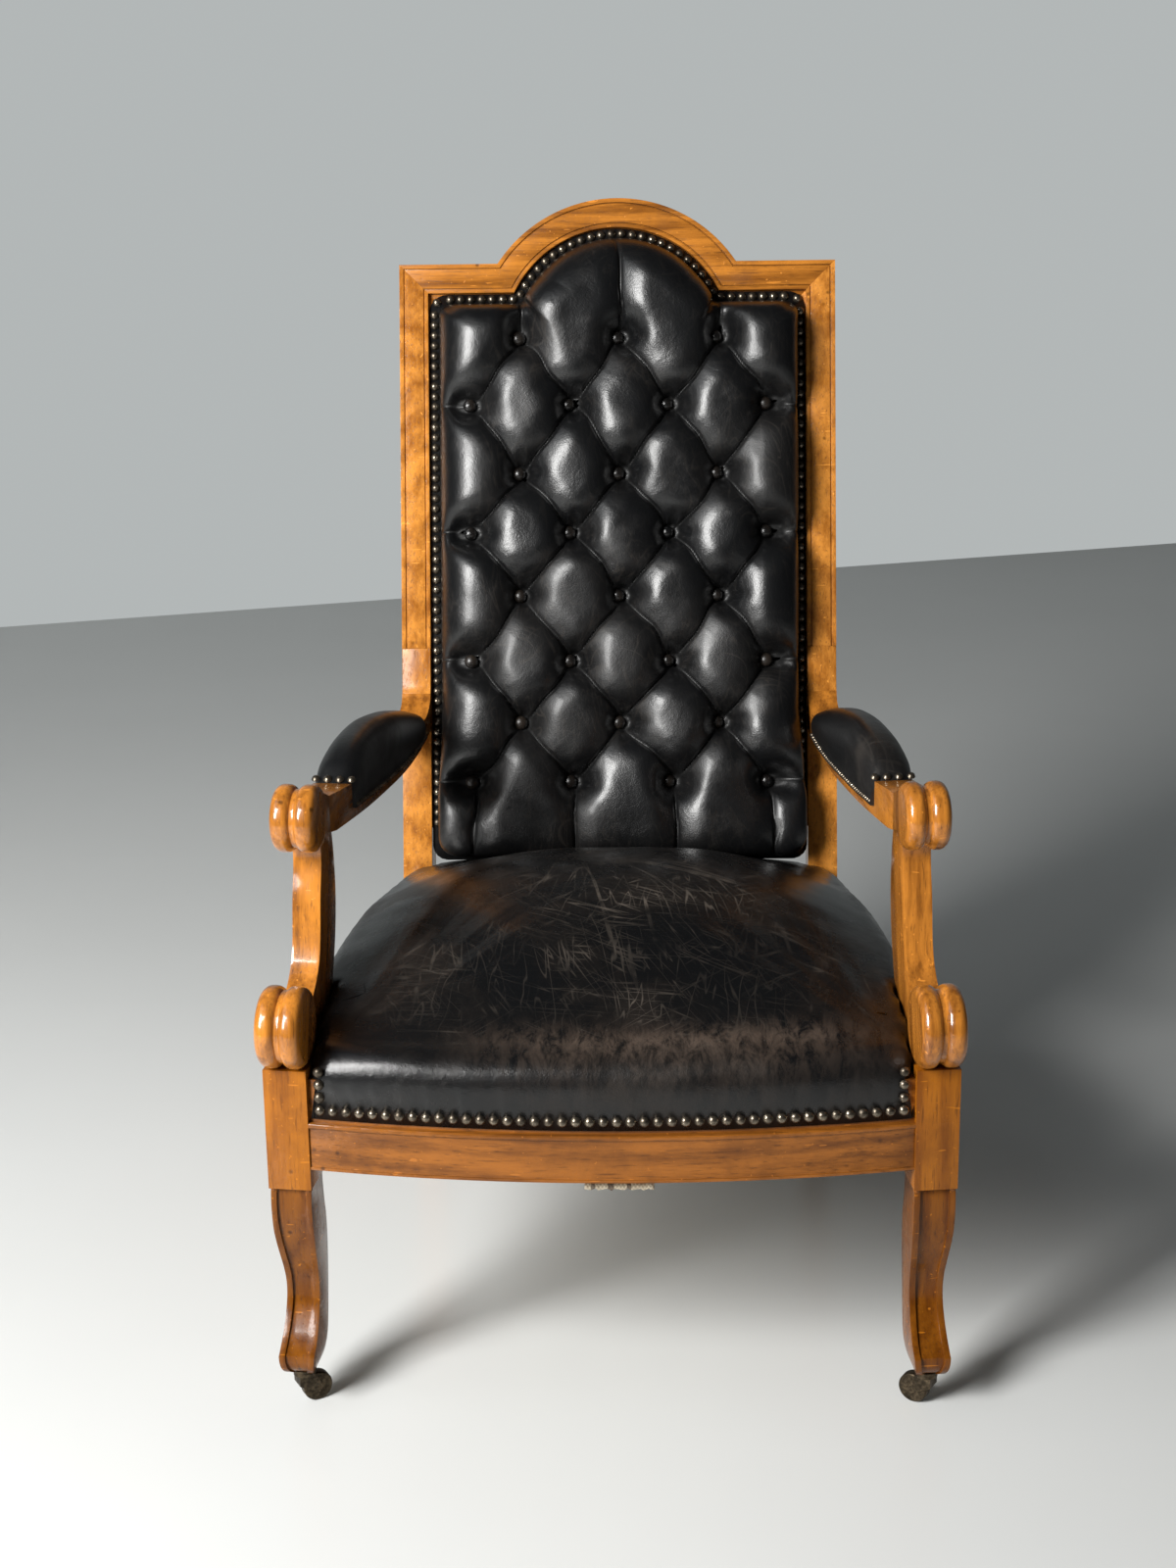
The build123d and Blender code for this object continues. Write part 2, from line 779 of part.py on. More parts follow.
keep_pair(arm_stump.part, "arm_stump")

# Arms: a shallow hollow line underneath, a bed for the pad, and a cove up into the post
joint_x, joint_y = on_side(1, arm_joint_u)
arm_meet_y = back_y(arm_end_height)
arm_reach = hypot(joint_x - post_centre_x, arm_meet_y - joint_y)
arm_dir_x = (post_centre_x - joint_x) / arm_reach
arm_dir_y = (arm_meet_y - joint_y) / arm_reach
arm_plane = Plane(
    origin=(joint_x, joint_y, 0),
    x_dir=(arm_dir_x, arm_dir_y, 0),
    z_dir=(arm_dir_y, -arm_dir_x, 0),
)
shelf_z = arm_end_height + 0.92 * pad_bed


def arm_side(s, t):
    # A point of the arm's side view, s up the back's plane and t ahead of its face
    y, z = raked(s, t)
    return ((y - joint_y) / arm_dir_y, z)


def under_points(rise=0.0):
    return [(arm_reach * a, arm_under_height - arm_dip * z + rise) for a, z in arm_under_shares]


def arm_strip(low, high):
    # The side view between two lines at heights over the arm's underside, along the pad
    lower = under_points(low)
    upper = under_points(high)
    with BuildSketch() as strip:
        with BuildLine():
            Spline(*lower)
            Line(lower[-1], upper[-1])
            Spline(*reversed(upper))
            Line(upper[0], lower[0])
        make_face()
        with Locations(((pad_front + pad_back) / 2, arm_under_height)):
            Rectangle(pad_back - pad_front, 2 * stem_rise, mode=Mode.INTERSECT)
    return strip.sketch


with BuildPart() as arm_and_ear:
    under = under_points()
    shelf_s = (shelf_z - block_top) / rake_cos
    with BuildSketch(arm_plane):
        with BuildLine():
            Polyline((0, neck_top[1]), (0, arm_under_height), under[0])
            Spline(*under)
            Polyline(
                under[-1],
                arm_side(ear_s[0] - rebate, -ear_let_in),
                arm_side(ear_s[1] + rebate, -ear_let_in),
                arm_side(ear_s[1] + rebate, 0),
            )
            FilletPolyline(
                arm_side(ear_s[1] + rebate, 0),
                arm_side(shelf_s, 0),
                (pad_back, arm_side(shelf_s, 0)[1]),
                radius=arm_cove_radius,
            )
            Polyline(
                (pad_back, arm_side(shelf_s, 0)[1]),
                (pad_front, arm_under_height + pad_bed - hide / 2),
                (0, neck_top[1]),
            )
        make_face()
    extrude(amount=arm_front_width, both=True)
    # In plan the arm runs from the support's width to the post's
    with BuildSketch(Plane.XY):
        Polygon(
            on_side(1, arm_joint_u, arm_front_width / 2),
            on_side(1, arm_joint_u, -arm_front_width / 2),
            (post_inner_x, arm_meet_y),
            (post_inner_x, arm_meet_y + post_depth),
            (back_half, arm_meet_y + post_depth),
            (back_half, arm_meet_y),
            align=None,
        )
    extrude(amount=shoulder_height, mode=Mode.INTERSECT)
    split(bisect_by=back_plane.offset(joint_gap - ear_let_in), keep=Keep.TOP)
    back_box((0, front_width), (ear_s[0] - overrun, ear_s[0]), (-post_depth, joint_gap), Mode.SUBTRACT)
    back_box((0, front_width), (ear_s[1], ear_s[1] + overrun), (-post_depth, overrun), Mode.SUBTRACT)
    with BuildSketch(arm_plane):
        add(arm_strip(pad_bed, 4 * pad_bed))
    extrude(amount=arm_front_width, both=True, mode=Mode.SUBTRACT)
    for edge in (-1, 1):
        with BuildSketch(arm_plane.offset(edge * (pad_core_width + arm_front_width) / 2)):
            add(arm_strip(pad_strip, 4 * pad_bed))
        extrude(amount=arm_front_width / 2, both=True, mode=Mode.SUBTRACT)
    with BuildSketch(front_plane(1).offset(-arm_joint_u)):
        with Locations((0, arm_dowel_z)):
            Circle(arm_dowel_radius + joint_gap)
    extrude(amount=-arm_dowel_length / 2 - joint_gap, mode=Mode.SUBTRACT)

with BuildPart() as arm:
    add(arm_and_ear.part)
    with BuildSketch(arm_plane):
        with Locations((arm_reach, ear_bottom)):
            Rectangle(2 * (arm_reach - pad_back), post_depth * 2, align=(Align.CENTER, Align.MIN))
    extrude(amount=arm_front_width, both=True, mode=Mode.SUBTRACT)
keep_pair(arm.part, "arm")

with BuildPart() as arm_ear:
    add(arm_and_ear.part)
    with BuildSketch(arm_plane):
        with Locations((arm_reach, ear_bottom)):
            Rectangle(2 * (arm_reach - pad_back), post_depth * 2, align=(Align.CENTER, Align.MIN))
    extrude(amount=arm_front_width, both=True, mode=Mode.INTERSECT)
keep_pair(arm_ear.part, "arm_ear")

# Arm pads: crowned, with drawn-in sides, over the raised core of the arm


def under_z(a):
    # The height of the arm's underside, by straight steps between its points
    points = under_points()
    for (a1, z1), (a2, z2) in zip(points, points[1:]):
        if a <= a2:
            return z1 + (z2 - z1) * (a - a1) / (a2 - a1)
    return points[-1][1]


def pad_section(share, height_share):
    a = pad_front + (pad_back - pad_front) * share
    plane = Plane(
        origin=arm_plane.from_local_coords((a, under_z(a) + pad_strip + joint_gap, 0)),
        x_dir=arm_plane.z_dir,
        z_dir=arm_plane.x_dir * -1,
    )
    half = pad_base_width / 2
    upper = half - pad_bulge / 2
    height = pad_height * height_share
    side_z = height * pad_side_share
    shoulder_z = height * pad_shoulder_share
    with BuildSketch(plane) as section:
        with BuildLine():
            Line((-half, 0), (half, 0))
            ThreePointArc((half, 0), (half + pad_bulge, side_z), (upper, shoulder_z))
            ThreePointArc((upper, shoulder_z), (0, height), (-upper, shoulder_z))
            ThreePointArc((-upper, shoulder_z), (-half - pad_bulge, side_z), (-half, 0))
        make_face()
    return section.sketch


with BuildPart() as arm_pad:
    loft([pad_section(share, height_share) for share, height_share in pad_shares])
    with BuildSketch(arm_plane):
        add(arm_strip(-pad_strip, pad_strip + joint_gap))
    extrude(amount=arm_front_width, both=True, mode=Mode.SUBTRACT)
    with BuildSketch(arm_plane):
        add(arm_strip(-pad_strip, pad_bed + joint_gap))
    extrude(amount=pad_core_width / 2 + joint_gap, both=True, mode=Mode.SUBTRACT)
keep_pair(arm_pad.part, "arm_pad")


# Seat: webbing under the rails, springs on it, and a canvas platform over the springs
with BuildPart() as seat_webbing:
    for x in (-spring_x, 0, spring_x):
        start_y = bow_y(abs(x), rail_thickness / 2)
        with BuildSketch(Plane.XY.offset(web_bottom)):
            with Locations((x, start_y)):
                web_length = rear_rail_y + rail_thickness / 2 - start_y
                Rectangle(web_width, web_length, align=(Align.CENTER, Align.MIN))
        extrude(amount=web_thickness)
    for step in (-1, 0, 1):
        cross_y = spring_centre_y + step * spring_y
        with BuildSketch(Plane.XY.offset(rail_bottom)):
            with Locations((0, cross_y)):
                Rectangle(2 * side_x(cross_y + web_width / 2, side_tenon_v), web_width)
        extrude(amount=web_thickness)
keep(seat_webbing.part, "seat_webbing")

spring_base = rail_bottom + web_thickness
spring_rise = platform_height - canvas - spring_base
spring_steps = spring_turns * spring_sides
spring_points = []
for step in range(spring_steps + 1):
    along = step / spring_steps
    radius = spring_waist_radius + (spring_end_radius - spring_waist_radius) * (2 * along - 1) ** 2
    turn = 2 * pi * step / spring_sides
    z = spring_base + spring_wire_radius + (spring_rise - 2 * spring_wire_radius) * along
    spring_points.append((radius * cos(turn), radius * sin(turn), z))
with BuildPart() as spring:
    with BuildLine() as coil:
        Polyline(*spring_points)
    with BuildSketch(Plane(origin=coil.line @ 0, z_dir=coil.line % 0)):
        RegularPolygon(spring_wire_radius, nail_sides)
    sweep(transition=Transition.RIGHT)
spring_places = [(0, spring_centre_y)]
for side in (-1, 1):
    spring_places.append((side * spring_x, spring_centre_y - spring_y))
    spring_places.append((side * spring_x, spring_centre_y + spring_y))
with BuildPart() as seat_springs:
    with Locations(*[(x, y, 0) for x, y in spring_places]):
        add(spring.part)
keep(seat_springs.part, "seat_springs")

# The seat's outer form: arched sections from front to back, trimmed to the bowed plan
seat_front_y = front_y - rail_bow + rebate - hide
seat_back_y = rear_rail_y + rail_thickness
seat_side_v = side_outer_v - rebate + hide
hem_z = show_top + seat_hem


def seat_section(share, rise, edge_rise, inset, base_z):
    y = seat_front_y + (seat_back_y - seat_front_y) * share
    half = side_x(y, seat_side_v) - inset / side_cos
    edge = block_top + seat_edge * edge_rise - inset
    crown = block_top + seat_crown * rise - inset
    soft = seat_side_round
    with BuildSketch(Plane.XZ.offset(-y)) as section:
        with BuildLine():
            Polyline((-half, edge - soft), (-half, base_z), (half, base_z), (half, edge - soft))
            ThreePointArc((half, edge - soft), (half - soft / 3, edge - soft / 3), (half - soft, edge))
            ThreePointArc((half - soft, edge), (0, max(crown, edge + hide)), (soft - half, edge))
            ThreePointArc((soft - half, edge), (soft / 3 - half, edge - soft / 3), (-half, edge - soft))
        make_face()
    return section.sketch


def seat_form(inset, base_z):
    # The seat's solid form at an inset inside the outer face of the hide, with a rolled front
    nose_y = seat_front_y + inset
    centre_y, bow_radius = bow_circle(rebate - hide + inset)
    nose_z = block_top + seat_nose - inset
    soft = seat_front_round - inset
    with BuildPart() as form:
        loft([seat_section(*shares, inset, base_z) for shares in seat_depth_shares])
        with BuildSketch(Plane.YZ):
            with BuildLine():
                Polyline(
                    (nose_y + soft, nose_z),
                    (centre_y, nose_z + bow_radius / 2),
                    (centre_y, base_z),
                    (nose_y, base_z),
                    (nose_y, nose_z - soft),
                )
                ThreePointArc(
                    (nose_y, nose_z - soft),
                    (nose_y + soft * (1 - cos(pi / 4)), nose_z - soft * (1 - sin(pi / 4))),
                    (nose_y + soft, nose_z),
                )
            make_face()
        revolve(axis=Axis((0, centre_y, 0), (0, 0, 1)), mode=Mode.INTERSECT)
        with BuildSketch(Plane.XY.offset(base_z)):
            with Locations((0, seat_back_y - inset)):
                Rectangle(2 * front_width, 2 * front_width, align=(Align.CENTER, Align.MAX))
        extrude(amount=2 * seat_crown, mode=Mode.INTERSECT)
    return form.part


def seat_notches():
    # Room for the leg blocks, the arm supports and the posts
    scroll_back = lower_scroll_u + lower_scroll_radius
    for side in (-1, 1):
        for back, width, bottom in ((block_depth, block_width, 0), (scroll_back, scroll_width, rail_top)):
            side_box(
                side,
                (-2 * overrun, back + soft_gap),
                (-width / 2 - soft_gap, 2 * block_width),
                (bottom, 2 * block_top),
                Mode.SUBTRACT,
            )
        with BuildSketch() as corner:
            with Locations((side * (post_inner_x - soft_gap), post_front_y - soft_gap)):
                Rectangle(
                    block_width * 2,
                    post_depth * 2,
                    align=(Align.MIN if side > 0 else Align.MAX, Align.MIN),
                )
        extrude(corner.sketch, amount=2 * block_top, mode=Mode.SUBTRACT)
    add(stem_room.part, mode=Mode.SUBTRACT)
    add(mirror(stem_room.part, about=Plane.YZ), mode=Mode.SUBTRACT)


with BuildPart() as stem_room:
    room_edge = stem_points(stem_back_shares, soft_gap)
    with BuildSketch(side_plane(1).offset(-stem_width / 2 - soft_gap)):
        with BuildLine():
            Spline(*room_edge)
            Polyline(
                room_edge[-1],
                (room_edge[-1][0], rail_top),
                (0, rail_top),
                (0, room_edge[0][1]),
                room_edge[0],
            )
        make_face()
    extrude(amount=3 * block_width)

rim_front = bow_y(0, rail_thickness / 2) + rail_bow
rim_back = rear_rail_y + rail_thickness / 2
rim_v = side_rail_inner_v + tenon_thickness / 2


def platform(drop):
    # The solid under the canvas, from the rail tops up to the platform over the springs
    rings = []
    for z, front, back, half_front, half_back in (
        (rail_top, rim_front, rim_back, side_x(rim_front, rim_v), side_x(rim_back, rim_v)),
        (platform_height - drop, platform_front, platform_back, platform_half_width, platform_half_width),
    ):
        with BuildSketch(Plane.XY.offset(z)) as ring:
            Polygon(
                (half_front - drop, front + drop),
                (half_back - drop, back - drop),
                (drop - half_back, back - drop),
                (drop - half_front, front + drop),
                align=None,
            )
        rings.append(ring.sketch)
    with BuildPart() as form:
        loft(rings, ruled=True)
    return form.part


with BuildPart() as seat_canvas:
    add(platform(0))
    add(platform(canvas), mode=Mode.SUBTRACT)
    seat_notches()
keep(seat_canvas.part, "seat_canvas")

inner_form = seat_form(hide - 2 * joint_gap, hem_z - rebate)
with BuildPart() as seat_stuffing:
    add(inner_form)
    with BuildSketch():
        Rectangle(2 * front_width, 2 * front_width)
    extrude(amount=rail_top, mode=Mode.SUBTRACT)
    add(platform(0), mode=Mode.SUBTRACT)
    seat_notches()
keep(seat_stuffing.part, "seat_stuffing")

with BuildPart() as seat_leather:
    add(seat_form(0, hem_z))
    add(inner_form, mode=Mode.SUBTRACT)
    with BuildSketch():
        with Locations((0, post_front_y)):
            Rectangle(front_width, post_depth, align=(Align.CENTER, Align.MIN))
    extrude(amount=rail_top, mode=Mode.SUBTRACT)
    seat_notches()
keep(seat_leather.part, "seat_leather")


# Nails with domed heads, set along the hem of the hide
def nail_head(radius, height):
    with BuildPart() as head:
        with BuildSketch():
            RegularPolygon(radius, nail_sides)
        extrude(amount=height, taper=nail_taper)
    return head.part


def spread(length, pitch):
    # Evenly spaced distances from half a step in, at about the pitch
    count = round(length / pitch)
    return [(index + 0.5) * length / count for index in range(count)]


seat_nail_planes = []
half_bow = on_side(1, rail_setback, -block_width / 2)[0] - nail_radius
front_steps = spread(2 * half_bow, seat_nail_pitch)
for step in front_steps:
    x = step - half_bow
    y = bow_y(x, rebate - hide)
    bow_centre_y, bow_radius = bow_circle(rebate - hide)
    normal = Vector(x, y - bow_centre_y, 0).normalized()
    # The row turns up at both ends, beside the leg blocks
    rows = corner_nail_rows if step in (front_steps[0], front_steps[-1]) else 1
    for row in range(rows):
        z = seat_nail_height + row * seat_nail_pitch
        seat_nail_planes.append(Plane(origin=Vector(x, y, z) + normal * joint_gap, z_dir=normal))
side_run = side_u(post_front_y, seat_side_v) - block_depth - 2 * nail_radius
for step in spread(side_run, seat_nail_pitch):
    for side in (-1, 1):
        x, y = on_side(side, block_depth + nail_radius + step, seat_side_v + joint_gap)
        outward = (side * side_cos, side_sin, 0)
        seat_nail_planes.append(Plane(origin=(x, y, seat_nail_height), z_dir=outward))
with BuildPart() as seat_nails:
    with Locations(*seat_nail_planes):
        add(nail_head(nail_radius, nail_height))
keep(seat_nails.part, "seat_nails")

# Back: webbing and an outside panel behind the lip, and the tufted cushion before it
back_opening = (-lip_drop - lip_thickness, -lip_drop)
web_t = (back_opening[0] - web_thickness, back_opening[0])
with BuildPart() as back_webbing:
    for x in (-tuft_pitch, 0, tuft_pitch):
        top = crest_line(lip_inner - tenon_thickness)[2 if x == 0 else 0][1]
        back_box((x - web_width / 2, x + web_width / 2), (lower_rail_s[0] + tenon_thickness, top), web_t)
    for share in back_web_shares:
        low = tuft_bottom + (tuft_top - tuft_bottom) * share - web_width / 2
        back_box((soft_gap - post_inner_x, post_inner_x - soft_gap), (low, low + web_width), web_t)
keep(back_webbing.part, "back_webbing")

with BuildPart() as outside_back:
    with BuildSketch(back_plane.offset(web_t[0] - canvas)):
        add(crest_region(band + soft_gap, lower_rail_s[0]))
    extrude(amount=canvas)
keep(outside_back.part, "outside_back")

row_s = [tuft_bottom + (tuft_top - tuft_bottom) * share for share in tuft_row_shares]
cushion_line = band + cushion_inset
cushion_half = back_half - cushion_line
shoulder, arch_foot, arch_top = crest_line(cushion_line)
row_pitch = tuft_pitch / 2


def arch_points(steps):
    # Points round the cushion's arch from its right foot to its top
    radius = arch_top[1] - arch_centre_s
    start = atan2(arch_foot[1] - arch_centre_s, arch_foot[0])
    angles = [start + (pi / 2 - start) * step / steps for step in range(steps + 1)]
    return [(radius * cos(angle), arch_centre_s + radius * sin(angle)) for angle in angles]


def tuft_cells():
    # The diamonds between the buttons, and the lobes between the outer buttons and the edge
    top = [(0, row_s[0]), (row_pitch, row_s[1]), (tuft_pitch, row_s[0]), *arch_points(3)]
    corner = [
        (tuft_pitch, row_s[0]),
        (3 * row_pitch, row_s[1]),
        (cushion_half, row_s[1]),
        shoulder,
        arch_foot,
    ]
    low_corner = [
        (3 * row_pitch, row_s[-1]),
        (cushion_half, row_s[-1]),
        (cushion_half, cushion_bottom),
        (3 * row_pitch, cushion_bottom),
    ]
    right_side = [top, corner, low_corner]
    middle = []
    for above, centre, below in zip(row_s[0::2], row_s[1::2], row_s[2::2]):
        for x in (-tuft_pitch, 0, tuft_pitch):
            middle.append([(x, above), (x + row_pitch, centre), (x, below), (x - row_pitch, centre)])
    for above, centre, below in zip(row_s[1::2], row_s[2::2], row_s[3::2]):
        for x in (-row_pitch, row_pitch):
            middle.append([(x, above), (x + row_pitch, centre), (x, below), (x - row_pitch, centre)])
        right_side.append(
            [
                (tuft_pitch, centre),
                (3 * row_pitch, above),
                (cushion_half, above),
                (cushion_half, below),
                (3 * row_pitch, below),
            ]
        )
    for x in (-tuft_pitch, 0, tuft_pitch):
        middle.append(
            [
                (x - row_pitch, row_s[-1]),
                (x, row_s[-2]),
                (x + row_pitch, row_s[-1]),
                (x + row_pitch, cushion_bottom),
                (x - row_pitch, cushion_bottom),
            ]
        )
    left_side = [[(-x, s) for x, s in cell] for cell in right_side]
    return middle + right_side + left_side


def pillow(cell):
    # One tuft: its outline drawn in step by step towards its crown
    centre_x = sum(x for x, s in cell) / len(cell)
    centre_s = sum(s for x, s in cell) / len(cell)
    tiers = []
    for rise, scale in pillow_shares:
        tier_t = cushion_valley - joint_gap + (cushion_depth - cushion_valley) * rise
        with BuildSketch(back_plane.offset(tier_t)) as tier:
            Polygon(
                *[(centre_x + (x - centre_x) * scale, centre_s + (s - centre_s) * scale) for x, s in cell],
                align=None,
            )
        tiers.append(tier.sketch)
    loft(tiers, ruled=True)


button_places = []
for index, s in enumerate(row_s):
    half_steps = (-2, 0, 2) if index % 2 == 0 else (-3, -1, 1, 3)
    button_places += [(step * row_pitch, s) for step in half_steps]

with BuildPart() as back_cushion:
    with BuildSketch(back_plane.offset(-lip_drop)):
        add(crest_region(cushion_line, cushion_bottom))
    extrude(amount=cushion_valley + lip_drop)
    with BuildSketch(back_plane.offset(-lip_drop)):
        add(crest_region(band + soft_gap, lip_start))
    extrude(amount=hide)
    with BuildSketch(back_plane.offset(back_opening[0])):
        add(crest_region(lip_inner + soft_gap, lower_rail_s[1] + soft_gap))
    extrude(amount=lip_thickness)
    for cell in tuft_cells():
        pillow(cell)
    with BuildSketch(back_plane.offset(cushion_valley)):
        with Locations(*button_places):
            RegularPolygon(button_radius + 2 * soft_gap, button_sides)
    extrude(amount=cushion_depth, mode=Mode.SUBTRACT)
keep(back_cushion.part, "back_cushion")

with BuildPart() as back_buttons:
    with BuildSketch(back_plane.offset(cushion_valley)):
        with Locations(*button_places):
            RegularPolygon(button_radius, button_sides)
    extrude(amount=button_height, taper=nail_taper / 2)
keep(back_buttons.part, "back_buttons")

nail_corner, nail_foot, nail_top = crest_line(band + nail_line)
nail_places = []
for step in spread(nail_corner[1] - lip_start, back_nail_pitch):
    nail_places.append((nail_corner[0], lip_start + step))
for step in spread(nail_corner[0] - nail_foot[0], back_nail_pitch):
    nail_places.append((nail_foot[0] + step, nail_corner[1]))
nail_arch_radius = nail_top[1] - arch_centre_s
nail_arch_start = atan2(nail_foot[1] - arch_centre_s, nail_foot[0])
for step in spread((pi / 2 - nail_arch_start) * nail_arch_radius, back_nail_pitch):
    angle = nail_arch_start + step / nail_arch_radius
    nail_places.append((nail_arch_radius * cos(angle), arch_centre_s + nail_arch_radius * sin(angle)))
nail_places += [(-x, s) for x, s in nail_places]
with BuildPart() as back_nails:
    with BuildSketch(back_plane.offset(hide + joint_gap - lip_drop)):
        with Locations(*nail_places):
            RegularPolygon(nail_radius, nail_sides)
    extrude(amount=nail_height, taper=nail_taper)
keep(back_nails.part, "back_nails")

# Dowels at both ends of the arm supports
with BuildPart() as stump_dowels:
    for side in (-1, 1):
        with BuildSketch(Plane.XY.offset(block_top)) as round_end:
            with Locations(on_side(side, stump_dowel_u)):
                Circle(stump_dowel_radius)
        extrude(round_end.sketch, amount=stump_dowel_length / 2, both=True)
keep(stump_dowels.part, "stump_dowels")

with BuildPart() as arm_dowels:
    for side in (-1, 1):
        with BuildSketch(front_plane(side).offset(-arm_joint_u)) as round_end:
            with Locations((0, arm_dowel_z)):
                Circle(arm_dowel_radius)
        extrude(round_end.sketch, amount=arm_dowel_length / 2, both=True)
keep(arm_dowels.part, "arm_dowels")

# Casters: a plate and pin in the leg, a horn that swivels on the pin, and a wheel on an axle
plate_bottom = foot_height - caster_plate_thickness
hub_top = plate_bottom - joint_gap
hub_bottom = hub_top - caster_hub_height
trail_x = -sin(radians(caster_turn))
trail_y = cos(radians(caster_turn))
caster_side = Plane(origin=(pivot_x, pivot_y, 0), x_dir=(trail_x, trail_y, 0), z_dir=(trail_y, -trail_x, 0))
cheek_middle = wheel_width / 2 + side_play + cheek_thickness / 2

with BuildPart() as caster_plate:
    for z, radius, rise in (
        (plate_bottom, caster_plate_radius, caster_plate_thickness),
        (foot_height, caster_pin_radius, caster_pin_length),
        (hub_bottom - joint_gap, caster_swivel_radius, plate_bottom - hub_bottom + joint_gap),
        (hub_bottom - joint_gap - caster_rivet_height, caster_rivet_radius, caster_rivet_height),
    ):
        with BuildSketch(Plane.XY.offset(z)):
            with Locations((pivot_x, pivot_y)):
                Circle(radius)
        extrude(amount=rise)
keep_pair(caster_plate.part, "caster_plate")

with BuildPart() as caster_horn:
    with BuildSketch(Plane.XY.offset(hub_bottom)):
        with Locations((pivot_x, pivot_y)):
            Circle(caster_hub_radius)
            Circle(caster_swivel_radius + running_gap, mode=Mode.SUBTRACT)
    extrude(amount=caster_hub_height)
    for side in (-1, 1):
        with BuildSketch(caster_side.offset(side * cheek_middle)):
            Polygon(
                (-horn_front, hub_bottom + joint_gap),
                (horn_back, hub_bottom + joint_gap),
                (caster_trail + cheek_boss, wheel_radius),
                (caster_trail, wheel_radius - cheek_boss),
                (caster_trail - cheek_boss, wheel_radius - cheek_boss / 2),
                (-horn_front, hub_bottom - horn_drop),
                align=None,
            )
            with Locations((caster_trail, wheel_radius)):
                Circle(axle_radius, mode=Mode.SUBTRACT)
        extrude(amount=cheek_thickness / 2, both=True)
    with BuildSketch(caster_side):
        Polygon(
            (-horn_front, hub_bottom + joint_gap),
            (cheek_thickness - horn_front, hub_bottom + joint_gap),
            (cheek_thickness - horn_front, hub_bottom - horn_drop),
            (-horn_front, hub_bottom - horn_drop),
            align=None,
        )
    extrude(amount=cheek_middle, both=True)
keep_pair(caster_horn.part, "caster_horn")

with BuildPart() as caster_axle:
    with BuildSketch(caster_side):
        with Locations((caster_trail, wheel_radius)):
            Circle(axle_radius)
    extrude(amount=cheek_middle + cheek_thickness / 2, both=True)
keep_pair(caster_axle.part, "caster_axle")

with BuildPart() as caster_wheel:
    with BuildSketch(caster_side):
        with Locations((caster_trail, wheel_radius)):
            Circle(wheel_radius)
            Circle(axle_radius + running_gap, mode=Mode.SUBTRACT)
    extrude(amount=wheel_width / 2, both=True)
    tread = caster_wheel.edges().filter_by(lambda e: e.length > wheel_radius * 6)
    chamfer(tread, side_play * 2)
keep_pair(caster_wheel.part, "caster_wheel")
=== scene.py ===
import math

import bmesh
import bpy
import numpy as np
from mathutils import Matrix, Vector


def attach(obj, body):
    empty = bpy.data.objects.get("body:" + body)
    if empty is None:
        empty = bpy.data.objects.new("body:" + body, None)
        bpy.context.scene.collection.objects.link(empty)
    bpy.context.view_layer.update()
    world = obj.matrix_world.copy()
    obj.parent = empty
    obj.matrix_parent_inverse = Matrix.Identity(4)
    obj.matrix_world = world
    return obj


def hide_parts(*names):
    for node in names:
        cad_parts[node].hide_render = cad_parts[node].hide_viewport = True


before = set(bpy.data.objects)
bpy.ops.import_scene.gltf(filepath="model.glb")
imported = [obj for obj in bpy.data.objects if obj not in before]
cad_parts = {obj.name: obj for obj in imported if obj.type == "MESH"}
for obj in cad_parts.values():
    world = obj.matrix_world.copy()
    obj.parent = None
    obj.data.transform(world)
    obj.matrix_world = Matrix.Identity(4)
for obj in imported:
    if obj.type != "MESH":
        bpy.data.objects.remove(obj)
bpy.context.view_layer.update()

bpy.ops.object.select_all(action="DESELECT")

# The chair's own planes, in metres: slanted sides, and a back leaning away from the seat
chair = {
    "frontY": -0.388,
    "sideCentreX": 0.309,
    "sideAngle": 6.5066,
    "postFrontY": 0.192,
    "blockTop": 0.360,
    "rake": 14.5,
    "bowFront": -0.416,
    "bowRadius": 1.413,
    "body": "chair",
}
sideSin = math.sin(math.radians(chair["sideAngle"]))
sideCos = math.cos(math.radians(chair["sideAngle"]))
rakeSin = math.sin(math.radians(chair["rake"]))
rakeCos = math.cos(math.radians(chair["rake"]))
backNormal = Vector((0, -rakeCos, rakeSin))


def sidePoint(side, u, v, z):
    # Along the slanted side (u), out from it (v) and up
    x = side * (chair["sideCentreX"] - u * sideSin + v * sideCos)
    return Vector((x, chair["frontY"] + u * sideCos + v * sideSin, z))


def backPoint(x, s, t):
    # Across the back (x), up its slope (s) and forward out of it (t)
    y = chair["postFrontY"] + s * rakeSin - t * rakeCos
    z = chair["blockTop"] + s * rakeCos + t * rakeSin
    return Vector((x, y, z))


camera = {
    "place": (0.0486, -2.3897, 1.2045),
    "yaw": -1.88,
    "pitch": 15.72,
    "roll": -0.80,
    "lens": 52.55,
    "sensor": 36.0,
}


def makeCamera():
    yaw, pitch, roll = (math.radians(camera[key]) for key in ("yaw", "pitch", "roll"))
    ahead = Vector((math.sin(yaw) * math.cos(pitch), math.cos(yaw) * math.cos(pitch), -math.sin(pitch)))
    right = Vector((math.cos(yaw), -math.sin(yaw), 0))
    up = right.cross(ahead)
    tiltedRight = right * math.cos(roll) + up * math.sin(roll)
    tiltedUp = up * math.cos(roll) - right * math.sin(roll)
    data = bpy.data.cameras.new("camera")
    data.sensor_fit = "VERTICAL"
    data.sensor_height = camera["sensor"]
    data.lens = camera["lens"]
    holder = bpy.data.objects.new("camera", data)
    bpy.context.scene.collection.objects.link(holder)
    turn = Matrix((tiltedRight, tiltedUp, -ahead)).transposed().to_4x4()
    holder.matrix_world = Matrix.Translation(camera["place"]) @ turn
    bpy.context.scene.camera = holder


makeCamera()
print("camera set")


